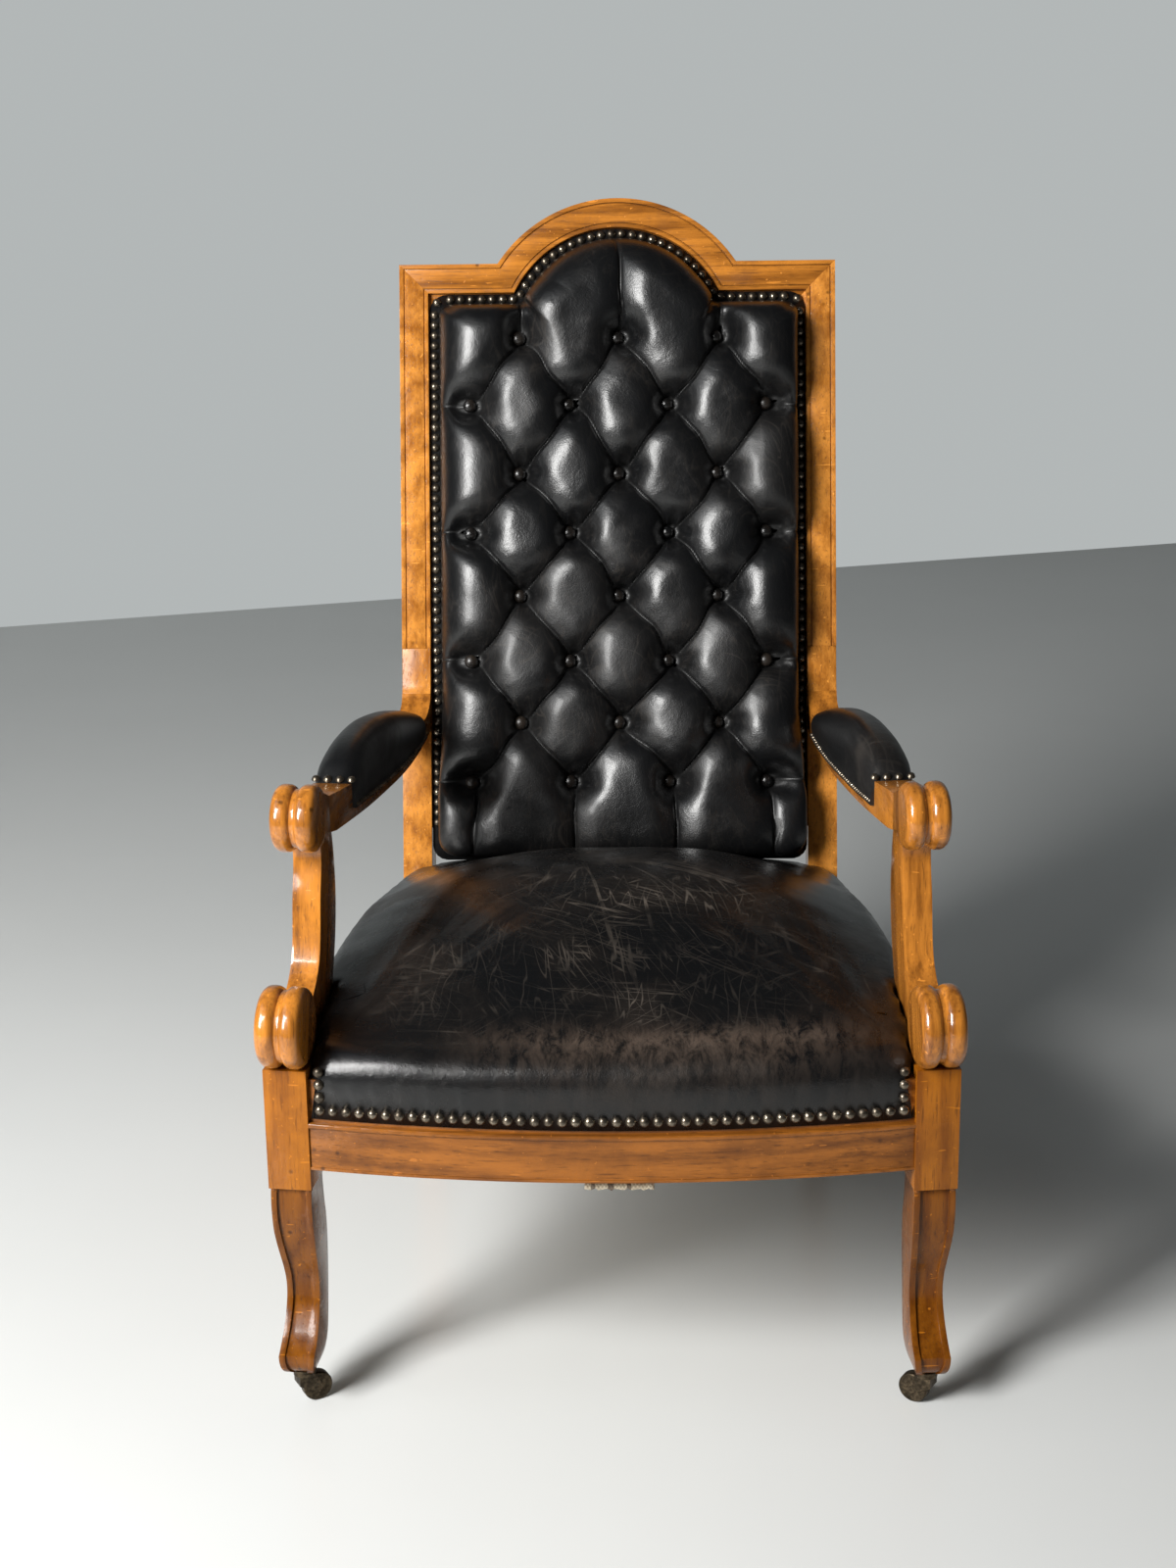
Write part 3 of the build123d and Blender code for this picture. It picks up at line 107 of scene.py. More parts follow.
class Web:
    # The nodes of one material or group. Apart from fill and node, a method gives back an output
    def __init__(self, tree):
        self.nodes = tree.nodes
        self.links = tree.links

    def fill(self, made, inputs):
        # An output is linked to its socket, and a number, vector or colour is set on it
        for label, value in inputs.items():
            socket = made.inputs[label]
            if isinstance(value, bpy.types.NodeSocket):
                self.links.new(value, socket)
            elif socket.type == "RGBA":
                socket.default_value = (*value[:3], 1)
            else:
                socket.default_value = value
        return made

    def node(self, kind, inputs, **properties):
        made = self.nodes.new("ShaderNode" + kind)
        for label, value in properties.items():
            setattr(made, label, value)
        return self.fill(made, inputs)

    def math(self, operation, *values, clamp=False):
        made = self.node("Math", dict(enumerate(values)), operation=operation, use_clamp=clamp)
        return made.outputs[0]

    def times(self, first, second):
        return self.math("MULTIPLY", first, second)

    def timesPlus(self, first, second, added):
        return self.math("MULTIPLY_ADD", first, second, added)

    def larger(self, first, second):
        return second if first is None else self.math("MAXIMUM", first, second)

    def span(self, value, fromLow, fromHigh, toLow=0.0, toHigh=1.0):
        limits = {"From Min": fromLow, "From Max": fromHigh, "To Min": toLow, "To Max": toHigh}
        made = self.node("MapRange", {"Value": value, **limits}, interpolation_type="SMOOTHSTEP")
        return made.outputs["Result"]

    def noise(self, vector, scale, detail=4.0, rough=0.55, warp=0.0):
        inputs = {"Vector": vector, "Scale": scale, "Detail": detail, "Roughness": rough, "Distortion": warp}
        return self.node("TexNoise", inputs).outputs["Fac"]

    def patches(self, vector, plan):
        # A noise, as its scale, detail, roughness and distortion, and the range kept of it
        return self.span(self.noise(vector, *plan["noise"]), *plan["range"])

    def mapped(self, vector, turn=(0, 0, 0), scale=(1, 1, 1), shift=(0, 0, 0)):
        angles = [math.radians(angle) for angle in turn]
        inputs = {"Vector": vector, "Location": shift, "Rotation": angles, "Scale": scale}
        return self.node("Mapping", inputs).outputs["Vector"]

    def mix(self, amount, first, second, blend="MIX"):
        inputs = {0: amount, 6: first, 7: second}
        return self.node("Mix", inputs, data_type="RGBA", blend_type=blend, clamp_factor=True).outputs[2]

    def bump(self, height, strength, distance):
        inputs = {"Height": height, "Strength": strength, "Distance": distance}
        return self.node("Bump", inputs).outputs["Normal"]

    def painted(self, label):
        return self.node("Attribute", {}, attribute_name=label).outputs["Fac"]

    def place(self):
        return self.node("TexCoord", {}).outputs["Object"]

    def group(self, tree, inputs):
        return self.fill(self.node("Group", {}, node_tree=tree), inputs).outputs


def newMaterial(name):
    material = bpy.data.materials.new(name)
    material.use_nodes = True
    material.node_tree.nodes.clear()
    web = Web(material.node_tree)
    shader = web.node("BsdfPrincipled", {})
    web.output = web.node("OutputMaterial", {"Surface": shader.outputs[0]})
    return material, web, shader


def newGroup(name, inputs, outputs):
    tree = bpy.data.node_groups.new(name, "ShaderNodeTree")
    for label, (kind, value) in inputs.items():
        socket = tree.interface.new_socket(name=label, in_out="INPUT", socket_type="NodeSocket" + kind)
        if value is not None:
            socket.default_value = value
    for label, kind in outputs.items():
        tree.interface.new_socket(name=label, in_out="OUTPUT", socket_type="NodeSocket" + kind)
    web = Web(tree)
    start = tree.nodes.new("NodeGroupInput").outputs
    end = tree.nodes.new("NodeGroupOutput")
    return tree, web, start, end


def shaded(color, share):
    return tuple(min(1.0, share * value) for value in color)


# Wood figure: each layer is a noise drawn out along local Z, added by its share
figure = {
    "swayStretch": 0.09,
    "sway": {"Scale": 5.0, "Detail": 3.0},
    "swayReach": (0.16, 0.16, 0.0),
    "rings": {"Scale": 14.0, "Distortion": 2.2, "Detail": 3.0, "Detail Scale": 1.4},
    "ringShare": 0.10,
    "layers": (
        {"stretch": 0.035, "noise": (160.0, 5.0, 0.65), "share": 0.42},
        {"stretch": 0.16, "noise": (70.0, 5.0, 0.7, 0.5), "share": 0.26},
        {"stretch": 0.22, "noise": (11.0, 3.0, 0.5, 0.6), "share": 0.34},
    ),
    "range": (0.36, 0.70),
    "poreStretch": 0.07,
    "pores": {"noise": (520.0, 3.0, 0.6), "range": (0.54, 0.72)},
}


def buildGrain():
    # Growth rings, streaks, mottle and open pores
    tree, web, start, end = newGroup(
        "woodFigure",
        {
            "Vector": ("Vector", None),
            "Dark": ("Color", (0.1, 0.03, 0.01, 1)),
            "Light": ("Color", (0.5, 0.2, 0.05, 1)),
        },
        {"Color": "Color", "Pores": "Float"},
    )
    vector = start["Vector"]
    slow = web.mapped(vector, scale=(1, 1, figure["swayStretch"]))
    sway = web.node("TexNoise", {"Vector": slow, **figure["sway"]}).outputs["Color"]
    moved = web.node("VectorMath", {0: sway, 1: figure["swayReach"], 2: slow}, operation="MULTIPLY_ADD")
    inputs = {"Vector": moved.outputs[0], **figure["rings"]}
    rings = web.node("TexWave", inputs, wave_type="RINGS", rings_direction="Z")
    total = web.times(rings.outputs["Fac"], figure["ringShare"])
    for layer in figure["layers"]:
        drawn = web.mapped(vector, scale=(1, 1, layer["stretch"]))
        total = web.timesPlus(web.noise(drawn, *layer["noise"]), layer["share"], total)
    total = web.span(total, *figure["range"])
    drawn = web.mapped(vector, scale=(1, 1, figure["poreStretch"]))
    pores = web.patches(drawn, figure["pores"])
    web.fill(end, {"Color": web.mix(total, start["Dark"], start["Light"]), "Pores": pores})
    return tree


polishWear = {
    "dentScale": 46.0,
    "dentEdge": (0.16, 0.04),
    "dentRare": {"noise": (9.0, 2.0), "range": (0.50, 0.62)},
    # Two ways that the scratches run, each as how it is turned and stretched
    "scratchWays": (((20, 35, 10), (60, 7, 60)), ((70, -25, 50), (7, 55, 55))),
    "scratches": {"noise": (4.5, 1.0, 0.4), "range": (0.735, 0.76)},
    "grime": {"noise": (16.0, 6.0, 0.7), "range": (0.44, 0.72)},
}


def buildWear():
    # Knocks, short scratches and grime on old polish
    tree, web, start, end = newGroup(
        "oldPolish",
        {"Vector": ("Vector", None), "Amount": ("Float", 0.5)},
        {"Dents": "Float", "Scratches": "Float", "Grime": "Float"},
    )
    vector = start["Vector"]
    dots = web.node("TexVoronoi", {"Vector": vector, "Scale": polishWear["dentScale"]})
    near = web.span(dots.outputs["Distance"], *polishWear["dentEdge"])
    rare = web.patches(vector, polishWear["dentRare"])
    lines = None
    for turn, scale in polishWear["scratchWays"]:
        drawn = web.mapped(vector, turn=turn, scale=scale)
        lines = web.larger(lines, web.patches(drawn, polishWear["scratches"]))
    web.fill(end, {
        "Dents": web.times(web.times(near, rare), start["Amount"]),
        "Scratches": web.times(lines, start["Amount"]),
        "Grime": web.patches(vector, polishWear["grime"]),
    })
    return tree


hideWear = {
    "pebbleSoftness": 0.6,
    "pebbleShare": 0.16,
    "crinkles": {"noise": (260.0, 3.0, 0.6, 0.3), "share": 0.26},
    "folds": {"noise": (85.0, 5.0, 0.55, 0.6), "share": 0.55},
    # Six directions of pale lines: how each is turned, and how it is stretched
    "lines": (
        ((0, 0, 28), (3.4, 82, 14)),
        ((0, 0, -37), (2.8, 92, 14)),
        ((0, 0, 80), (4, 76, 16)),
        ((0, 0, 5), (3.2, 104, 16)),
        ((0, 0, 58), (4.4, 118, 16)),
        ((50, 0, -68), (4, 86, 10)),
    ),
    "line": (1.0, 1.0, 0.4, 0.25),
    "lineEdge": (0.018, 0.003),
    "breakShift": (3, 1, 2),
    "breaks": {"noise": (15.0, 3.0, 0.6), "range": (0.45, 0.62)},
    "cloud": {"noise": (7.5, 5.0, 0.65, 0.4), "range": (0.42, 0.68)},
    "leastLines": 0.25,
}


def buildHide():
    # Leather: fine pebbles, soft folds and pale rubbed lines
    tree, web, start, end = newGroup(
        "agedHide",
        {"Vector": ("Vector", None), "Pebble": ("Float", 900.0), "Rubbed": ("Float", 0.5)},
        {"Height": "Float", "Scuffs": "Float", "Cloud": "Float"},
    )
    vector = start["Vector"]
    inputs = {"Vector": vector, "Scale": start["Pebble"], "Smoothness": hideWear["pebbleSoftness"]}
    pebble = web.node("TexVoronoi", inputs, feature="SMOOTH_F1")
    height = web.times(pebble.outputs["Distance"], hideWear["pebbleShare"])
    for layer in (hideWear["crinkles"], hideWear["folds"]):
        height = web.timesPlus(web.noise(vector, *layer["noise"]), layer["share"], height)
    lines = None
    for turn, stretch in hideWear["lines"]:
        turned = web.mapped(vector, turn=turn)
        bend = web.noise(web.mapped(turned, scale=stretch), *hideWear["line"])
        line = web.span(web.math("ABSOLUTE", web.math("SUBTRACT", bend, 0.5)), *hideWear["lineEdge"])
        breaks = web.patches(web.mapped(turned, shift=hideWear["breakShift"]), hideWear["breaks"])
        lines = web.larger(lines, web.times(line, breaks))
    cloud = web.patches(vector, hideWear["cloud"])
    patchy = web.times(lines, web.span(cloud, 0.0, 1.0, hideWear["leastLines"], 1.0))
    web.fill(end, {"Height": height, "Scuffs": web.times(patchy, start["Rubbed"]), "Cloud": cloud})
    return tree


grainGroup = buildGrain()
polishGroup = buildWear()
hideGroup = buildHide()

woodTones = {
    "honey": {"dark": (0.26, 0.080, 0.008), "light": (0.68, 0.270, 0.045), "grime": 0.40},
    "chestnut": {"dark": (0.15, 0.046, 0.006), "light": (0.56, 0.205, 0.028), "grime": 0.42},
    "amber": {"dark": (0.14, 0.036, 0.002), "light": (0.36, 0.118, 0.007), "grime": 0.42},
    "brown": {"dark": (0.10, 0.030, 0.004), "light": (0.30, 0.100, 0.013), "grime": 0.45},
    "raw": {"dark": (0.30, 0.18, 0.09), "light": (0.55, 0.38, 0.21), "grime": 0.25},
}
# Shades are shares of the tone's dark colour, or of its light one for scratches
woodLook = {
    "wear": 0.8,
    "polish": 0.3,
    "coatRough": 0.11,
    "specular": 0.18,
    "rough": (0.24, 0.40),
    "poreRough": 0.12,
    "poreAmount": 0.55,
    "poreShade": 0.35,
    "grimeShade": 0.75,
    "dentShade": 0.3,
    "scratchAmount": 0.7,
    "scratchShade": 1.5,
    # Painted shade, with old polish and dirt, in the inner corners
    "grooveShadeAndDirtTone": 0.12,
    "belowAmount": 0.8,
    "bump": (0.45, 0.0006),
    "heights": {"Pores": -0.35, "Dents": -1.0, "Scratches": -0.4},
}


def makeWood(name, tone, turn=(0, 0, 0), shift=(0, 0, 0), polish=woodLook["polish"], below=None):
    material, web, shader = newMaterial(name)
    look, dark, light = woodLook, woodTones[tone]["dark"], woodTones[tone]["light"]
    vector = web.place()
    along = web.mapped(vector, turn=turn, shift=shift)
    grain = web.group(grainGroup, {"Vector": along, "Dark": dark, "Light": light})
    wear = web.group(polishGroup, {"Vector": vector, "Amount": look["wear"]})
    pores = web.times(grain["Pores"], look["poreAmount"])
    color = web.mix(pores, grain["Color"], shaded(dark, look["poreShade"]))
    if below:
        # The wood turns darker under this height
        height = web.node("SeparateXYZ", {0: vector}).outputs["Z"]
        lower = web.span(height, below["from"], below["to"])
        color = web.mix(lower, color, web.mix(look["belowAmount"], color, below["shade"], "MULTIPLY"))
    grime = web.times(wear["Grime"], woodTones[tone]["grime"])
    color = web.mix(grime, color, shaded(dark, look["grimeShade"]))
    color = web.mix(wear["Dents"], color, shaded(dark, look["dentShade"]))
    scratches = web.times(wear["Scratches"], look["scratchAmount"])
    color = web.mix(scratches, color, shaded(light, look["scratchShade"]))
    # Painted shade, with old polish and dirt, darkens the faces in inner corners
    color = web.mix(web.painted("grooveShadeAndDirt"), color, shaded(dark, look["grooveShadeAndDirtTone"]))
    rough = web.span(wear["Grime"], 0.0, 1.0, *look["rough"])
    height = web.times(grain["Pores"], look["heights"]["Pores"])
    for label in ("Dents", "Scratches"):
        height = web.timesPlus(wear[label], look["heights"][label], height)
    web.fill(shader, {
        "Base Color": color,
        "Roughness": web.timesPlus(grain["Pores"], look["poreRough"], rough),
        "Normal": web.bump(height, *look["bump"]),
        "Specular IOR Level": look["specular"],
    })
    if tone != "raw":
        web.fill(shader, {"Coat Weight": polish, "Coat Roughness": look["coatRough"]})
    return material


hideLook = {
    "black": (0.0040, 0.0042, 0.0046),
    "brown": (0.024, 0.017, 0.012),
    "scuff": (0.095, 0.080, 0.066),
    "rubbed": (0.080, 0.057, 0.043),
    # Painted shade: the near black that the painted crease attribute lays on pleats, button wells, hems,
    # seams and the seat's corners
    "crease": (0.002, 0.002, 0.002),
    "roughSpread": 0.16,
    "rubbedRough": 0.25,
    "creaseRough": 0.3,
    "bandStretch": (2.6, 1, 1),
    "band": {"noise": (26.0, 8.0, 0.76, 0.4), "range": (0.36, 0.62)},
    "bump": (0.40, 0.0016),
    "coatShare": 0.2,
    "coatRough": 0.16,
}


def makeHide(name, pebble=850.0, rubbed=0.35, brown=0.25, gloss=0.26, shine=0.5, band=False):
    # With band, the painted attributes say where the seat is worn and rubbed brown
    material, web, shader = newMaterial(name)
    look, vector = hideLook, web.place()
    hide = web.group(hideGroup, {"Vector": vector, "Pebble": pebble, "Rubbed": rubbed})
    color = web.mix(web.times(hide["Cloud"], brown), look["black"], look["brown"])
    scuffs = web.times(hide["Scuffs"], web.painted("worn")) if band else hide["Scuffs"]
    color = web.mix(scuffs, color, look["scuff"])
    rough = web.span(hide["Cloud"], 0.0, 1.0, gloss, gloss + look["roughSpread"])
    if band:
        patches = web.patches(web.mapped(vector, scale=look["bandStretch"]), look["band"])
        amount = web.math("MULTIPLY", patches, web.painted("rubbed"), clamp=True)
        color = web.mix(amount, color, look["rubbed"])
        rough = web.timesPlus(amount, look["rubbedRough"], rough)
    # The painted crease attribute is painted shade, darkening the hide towards near black
    crease = web.painted("crease")
    web.fill(shader, {
        "Base Color": web.mix(crease, color, look["crease"]),
        "Roughness": web.timesPlus(crease, look["creaseRough"], rough),
        "Normal": web.bump(hide["Height"], *look["bump"]),
        "Specular IOR Level": shine,
        "Coat Weight": look["coatShare"] * shine,
        "Coat Roughness": look["coatRough"],
    })
    return material


# The noises of metal are given as detail and roughness, and their scale by the call
metalLook = {
    "spots": (4.0, 0.6),
    "spotShare": 0.5,
    "patchScale": 0.16,
    "patches": (3.0, 0.5),
    "patchShare": 0.6,
    "range": (0.38, 0.72),
    "metallic": 0.9,
    "bump": (0.25, 0.0004),
}


def makeMetal(name, dark, light, roughLow, roughHigh, scale=420.0):
    material, web, shader = newMaterial(name)
    look, vector = metalLook, web.place()
    spots = web.noise(vector, scale, *look["spots"])
    patches = web.noise(vector, scale * look["patchScale"], *look["patches"])
    mixed = web.timesPlus(patches, look["patchShare"], web.times(spots, look["spotShare"]))
    mixed = web.span(mixed, *look["range"])
    web.fill(shader, {
        "Base Color": web.mix(mixed, dark, light),
        "Roughness": web.span(mixed, 0.0, 1.0, roughHigh, roughLow),
        "Metallic": look["metallic"],
        "Normal": web.bump(spots, *look["bump"]),
    })
    return material


clothLook = {
    "lumps": (240.0, 4.0, 0.6),
    "weaveShare": 0.25,
    "range": (0.2, 0.85),
    "stripeAmount": 0.85,
    "rough": 0.9,
    "bump": (0.5, 0.0004),
}


def makeCloth(name, color, thread, count, stripe=None):
    # Plain weave on object coordinates, with optional dark stripes along local Y
    material, web, shader = newMaterial(name)
    look, vector = clothLook, web.place()
    split = web.node("SeparateXYZ", {0: vector}).outputs
    across, down = (web.math("SINE", web.times(split[axis], count * 2)) for axis in ("X", "Y"))
    weave = web.times(across, down)
    lumps = web.timesPlus(weave, look["weaveShare"], web.noise(vector, *look["lumps"]))
    base = web.mix(web.span(lumps, *look["range"]), thread, color)
    if stripe:
        marks = None
        for strap in stripe["straps"]:
            for shift, half in stripe["lines"]:
                gap = web.math("ABSOLUTE", web.math("SUBTRACT", split["X"], strap + shift))
                marks = web.larger(marks, web.math("LESS_THAN", gap, half))
        base = web.mix(web.times(marks, look["stripeAmount"]), base, stripe["color"])
    web.fill(shader, {
        "Base Color": base,
        "Roughness": look["rough"],
        "Normal": web.bump(weave, *look["bump"]),
    })
    return material


print("materials ready")

merge = {"doubles": 2e-6, "shape": 1e-6}
smoothAngle = {"wood": 36, "cloth": 40, "round": 50}


def showPiece(name, mesh, material, body=None, stands=()):
    piece = bpy.data.objects.new(name, mesh)
    bpy.context.scene.collection.objects.link(piece)
    mesh.materials.clear()
    mesh.materials.append(material)
    if stands:
        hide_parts(*stands)
    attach(piece, body or chair["body"])
    return piece


def meshOf(name, points, faces, smooth=True):
    mesh = bpy.data.meshes.new(name)
    mesh.from_pydata([tuple(point) for point in points], [], faces)
    mesh.validate()
    if smooth:
        mesh.shade_smooth()
    return mesh


def openMesh(mesh, doubles=None):
    work = bmesh.new()
    work.from_mesh(mesh)
    if doubles:
        bmesh.ops.remove_doubles(work, verts=work.verts, dist=doubles)
    return work


def closeMesh(work, mesh):
    bmesh.ops.recalc_face_normals(work, faces=work.faces)
    work.to_mesh(mesh)
    work.free()
    return mesh


def pick(piece):
    bpy.ops.object.select_all(action="DESELECT")
    piece.select_set(True)
    bpy.context.view_layer.objects.active = piece


def applyModifiers(piece):
    pick(piece)
    for modifier in list(piece.modifiers):
        bpy.ops.object.modifier_apply(modifier=modifier.name)
    piece.select_set(False)


def smoothByAngle(piece, angle):
    pick(piece)
    bpy.ops.object.shade_smooth_by_angle(angle=math.radians(angle))
    piece.select_set(False)


def paintPoints(mesh, label, values):
    layer = mesh.attributes.new(label, "FLOAT", "POINT")
    full = np.zeros(len(mesh.vertices), np.float32)
    full[: len(values)] = values
    layer.data.foreach_set("value", full)


def markGrooveShadeAndDirt(mesh):
    # Faces that the bevel made in an inner corner get painted shade, with the old polish and dirt they hold
    least = {"reach": 1e-9, "bend": 1e-5}
    work = openMesh(mesh)
    work.faces.ensure_lookup_table()
    marks = np.zeros(len(work.faces), np.float32)
    for face in work.faces:
        if face.material_index != 1:
            continue
        face.material_index = 0
        centre = face.calc_center_median()
        bend = 0.0
        for edge in face.edges:
            for other in edge.link_faces:
                if other is not face:
                    away = other.calc_center_median() - centre
                    if away.length > least["reach"]:
                        bend += edge.calc_length() * face.normal.dot(away.normalized())
        marks[face.index] = 1.0 if bend > least["bend"] else 0.0
    work.to_mesh(mesh)
    work.free()
    layer = mesh.attributes.new("grooveShadeAndDirt", "FLOAT", "FACE")
    layer.data.foreach_set("value", marks)


dress = {"flat": 0.08, "angle": 30, "segments": 3}


def dressNode(node, name, material, width, body=None, angle=dress["angle"], segments=dress["segments"]):
    # A copy of the solid with its flats merged and its sharp edges worn round
    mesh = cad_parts[node].data.copy()
    mesh.name = name
    work = openMesh(mesh, merge["doubles"])
    bmesh.ops.dissolve_limit(
        work,
        angle_limit=math.radians(dress["flat"]),
        verts=work.verts,
        edges=work.edges,
        delimit={"NORMAL"},
    )
    bmesh.ops.connect_verts_concave(work, faces=work.faces)
    closeMesh(work, mesh)
    piece = showPiece(name, mesh, material, body, (node,))
    bevel = piece.modifiers.new("worn edges", "BEVEL")
    bevel.width = width
    bevel.segments = segments
    bevel.limit_method = "ANGLE"
    bevel.angle_limit = math.radians(angle)
    bevel.use_clamp_overlap = True
    mesh.materials.append(material)
    bevel.material = 1
    applyModifiers(piece)
    markGrooveShadeAndDirt(piece.data)
    piece.data.materials.pop(index=1)
    smoothByAngle(piece, smoothAngle["wood"])


# Tone, how the grain is turned and the width of the worn edges, for each kind of piece
woodPieces = {
    "front_leg": {
        "tone": "amber",
        "turn": (0, 0, 0),
        "edge": 0.0014,
        "polish": 0.18,
        "below": {"from": 0.238, "to": 0.232, "shade": (0.42, 0.40, 0.55)},
    },
    "arm_stump": {"tone": "chestnut", "turn": (18, 0, 0), "edge": 0.0018, "polish": 0.85},
    "arm": {"tone": "chestnut", "turn": (90, 0, 0), "edge": 0.0014},
    "arm_ear": {"tone": "honey", "turn": (0, 0, 0), "edge": 0.0005, "polish": 0.05},
    "rear_post": {"tone": "honey", "turn": (-14, 0, 0), "edge": 0.0004},
    "side_rail": {"tone": "amber", "turn": (90, 0, 0), "edge": 0.0008},
    "corner_block_front": {"tone": "raw", "turn": (0, 90, 0), "edge": 0.0010},
    "corner_block_rear": {"tone": "raw", "turn": (0, 90, 0), "edge": 0.0010},
    # The crest's tone is darker than the posts' honey: in part darker wood, in part painted shade for the
    # lesser light that falls on it
    "crest_rail": {"tone": "chestnut", "turn": (0, 90, 0), "edge": 0.0004},
    "front_rail": {"tone": "brown", "turn": (0, 90, 0), "edge": 0.0010},
    "rear_rail": {"tone": "amber", "turn": (0, 90, 0), "edge": 0.0010},
    "back_lower_rail": {"tone": "amber", "turn": (0, 90, 0), "edge": 0.0010},
}
# Each plank comes from its own place in the wood
plankShift = {"x": 0.11, "y": 0.07, "wrapY": 0.31, "z": 0.13}


def dressWood():
    for stem, plan in woodPieces.items():
        sides = [""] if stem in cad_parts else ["_left", "_right"]
        for index, side in enumerate(sides):
            shiftY = plankShift["y"] * len(stem) % plankShift["wrapY"]
            shift = (plankShift["x"] * (index + 1), shiftY, plankShift["z"] * index)
            polish = plan.get("polish", woodLook["polish"])
            node = stem + side
            material = makeWood("wood_" + node, plan["tone"], plan["turn"], shift, polish, plan.get("below"))
            dressNode(node, "wood." + node, material, plan["edge"])


dressWood()
print("wood dressed")


# More than any distance on the chair, in metres, and a turn for random angles
farAway = 9.0
wholeTurn = 6.28


def softMin(first, second, width):
    share = np.clip(0.5 + 0.5 * (second - first) / width, 0, 1)
    return second * (1 - share) + first * share - width * share * (1 - share)


def softMax(first, second, width):
    return -softMin(-first, -second, width)


def ramp(value, start, width):
    # From 0 at the start to 1 a width further on, and flat beyond
    return np.clip((value - start) / width, 0, 1)


def bell(value, middle, width, power=2):
    # 1 at the middle, and little left beyond the width
    return np.exp(-(((value - middle) / width) ** power))


def segmentDistance(x, y, start, end):
    dx, dy = end[0] - start[0], end[1] - start[1]
    along = ((x - start[0]) * dx + (y - start[1]) * dy) / (dx * dx + dy * dy)
    along = np.clip(along, 0, 1)
    return np.hypot(x - start[0] - along * dx, y - start[1] - along * dy)


def waves(x, y, seed, size, count=14, spread=(0.7, 2.2)):
    # Smooth wandering unevenness, from -1 to 1 or so, of about the given size in metres
    source = np.random.default_rng(seed)
    total = np.zeros_like(x)
    for _ in range(count):
        angle = source.uniform(0, math.pi)
        rate = 2 * math.pi / (size * source.uniform(*spread))
        phase = source.uniform(0, 2 * math.pi)
        total += np.sin(rate * (x * math.cos(angle) + y * math.sin(angle)) + phase)
    return total / math.sqrt(count)


def spline(rows, column, at):
    # Smooth curve through the rows' points (place, value, ...), by cubic Hermite pieces
    places = np.array([row[0] for row in rows])
    values = np.array([row[column] for row in rows])
    slopes = np.gradient(values, places)
    index = np.clip(np.searchsorted(places, at) - 1, 0, len(places) - 2)
    span = places[index + 1] - places[index]
    share = np.clip((at - places[index]) / span, 0, 1)
    first = values[index] * (1 + 2 * share) * (1 - share) ** 2
    second = slopes[index] * span * share * (1 - share) ** 2
    third = values[index + 1] * share ** 2 * (3 - 2 * share)
    fourth = slopes[index + 1] * span * share ** 2 * (share - 1)
    return first + second + third + fourth


def gradient(edge, x, y, step=0.0004, least=1e-9):
    gradX = (edge(x + step, y) - edge(x - step, y)) / (2 * step)
    gradY = (edge(x, y + step) - edge(x, y - step)) / (2 * step)
    size = np.maximum(np.hypot(gradX, gradY), least)
    return gradX / size, gradY / size


def trimmedGrid(xs, ys, edge, step, least=0.42, rounds=6):
    # Grid points inside the outline, with the outermost moved on to it
    gridX, gridY = np.meshgrid(xs, ys)
    inside = edge(gridX, gridY) > least * step
    cells = inside[:-1, :-1] & inside[1:, :-1] & inside[:-1, 1:] & inside[1:, 1:]
    used = np.zeros_like(inside)
    for rows, columns in ((0, 0), (1, 0), (0, 1), (1, 1)):
        used[rows:rows + cells.shape[0], columns:columns + cells.shape[1]] |= cells
    number = -np.ones(used.shape, int)
    number[used] = np.arange(used.sum())
    corners = (number[:-1, :-1], number[:-1, 1:], number[1:, 1:], number[1:, :-1])
    faces = np.stack([corner[cells] for corner in corners], 1)
    x, y = gridX[used], gridY[used]
    pairs = np.concatenate([faces[:, [0, 1]], faces[:, [1, 2]], faces[:, [2, 3]], faces[:, [3, 0]]])
    unique, counts = np.unique(np.sort(pairs, 1), axis=0, return_counts=True)
    rim = np.unique(unique[counts == 1])
    for _ in range(rounds):
        gap = edge(x[rim], y[rim])
        gradX, gradY = gradient(edge, x[rim], y[rim])
        x[rim] -= gap * gradX
        y[rim] -= gap * gradY
    return x, y, faces.tolist()


def closeBehind(points, faces, edge, stages):
    # Hem and hidden back of a padded form: the rim goes through the stages as (outward, height)
    work = bmesh.new()
    verts = [work.verts.new(point) for point in points]
    for face in faces:
        work.faces.new([verts[index] for index in face])
    loop = [item for item in work.edges if item.is_boundary]
    for outward, height in stages:
        made = bmesh.ops.extrude_edge_only(work, edges=loop)["geom"]
        fresh = [item for item in made if isinstance(item, bmesh.types.BMVert)]
        x = np.array([vert.co.x for vert in fresh])
        y = np.array([vert.co.y for vert in fresh])
        if outward:
            gradX, gradY = gradient(edge, x, y)
            x, y = x - outward * gradX, y - outward * gradY
        for vert, newX, newY in zip(fresh, x, y):
            vert.co = (newX, newY, height)
        chosen = set(fresh)
        loop = [item for item in work.edges if item.is_boundary and chosen.issuperset(item.verts)]
    bmesh.ops.edgeloop_fill(work, edges=loop)
    bmesh.ops.recalc_face_normals(work, faces=work.faces)
    return work


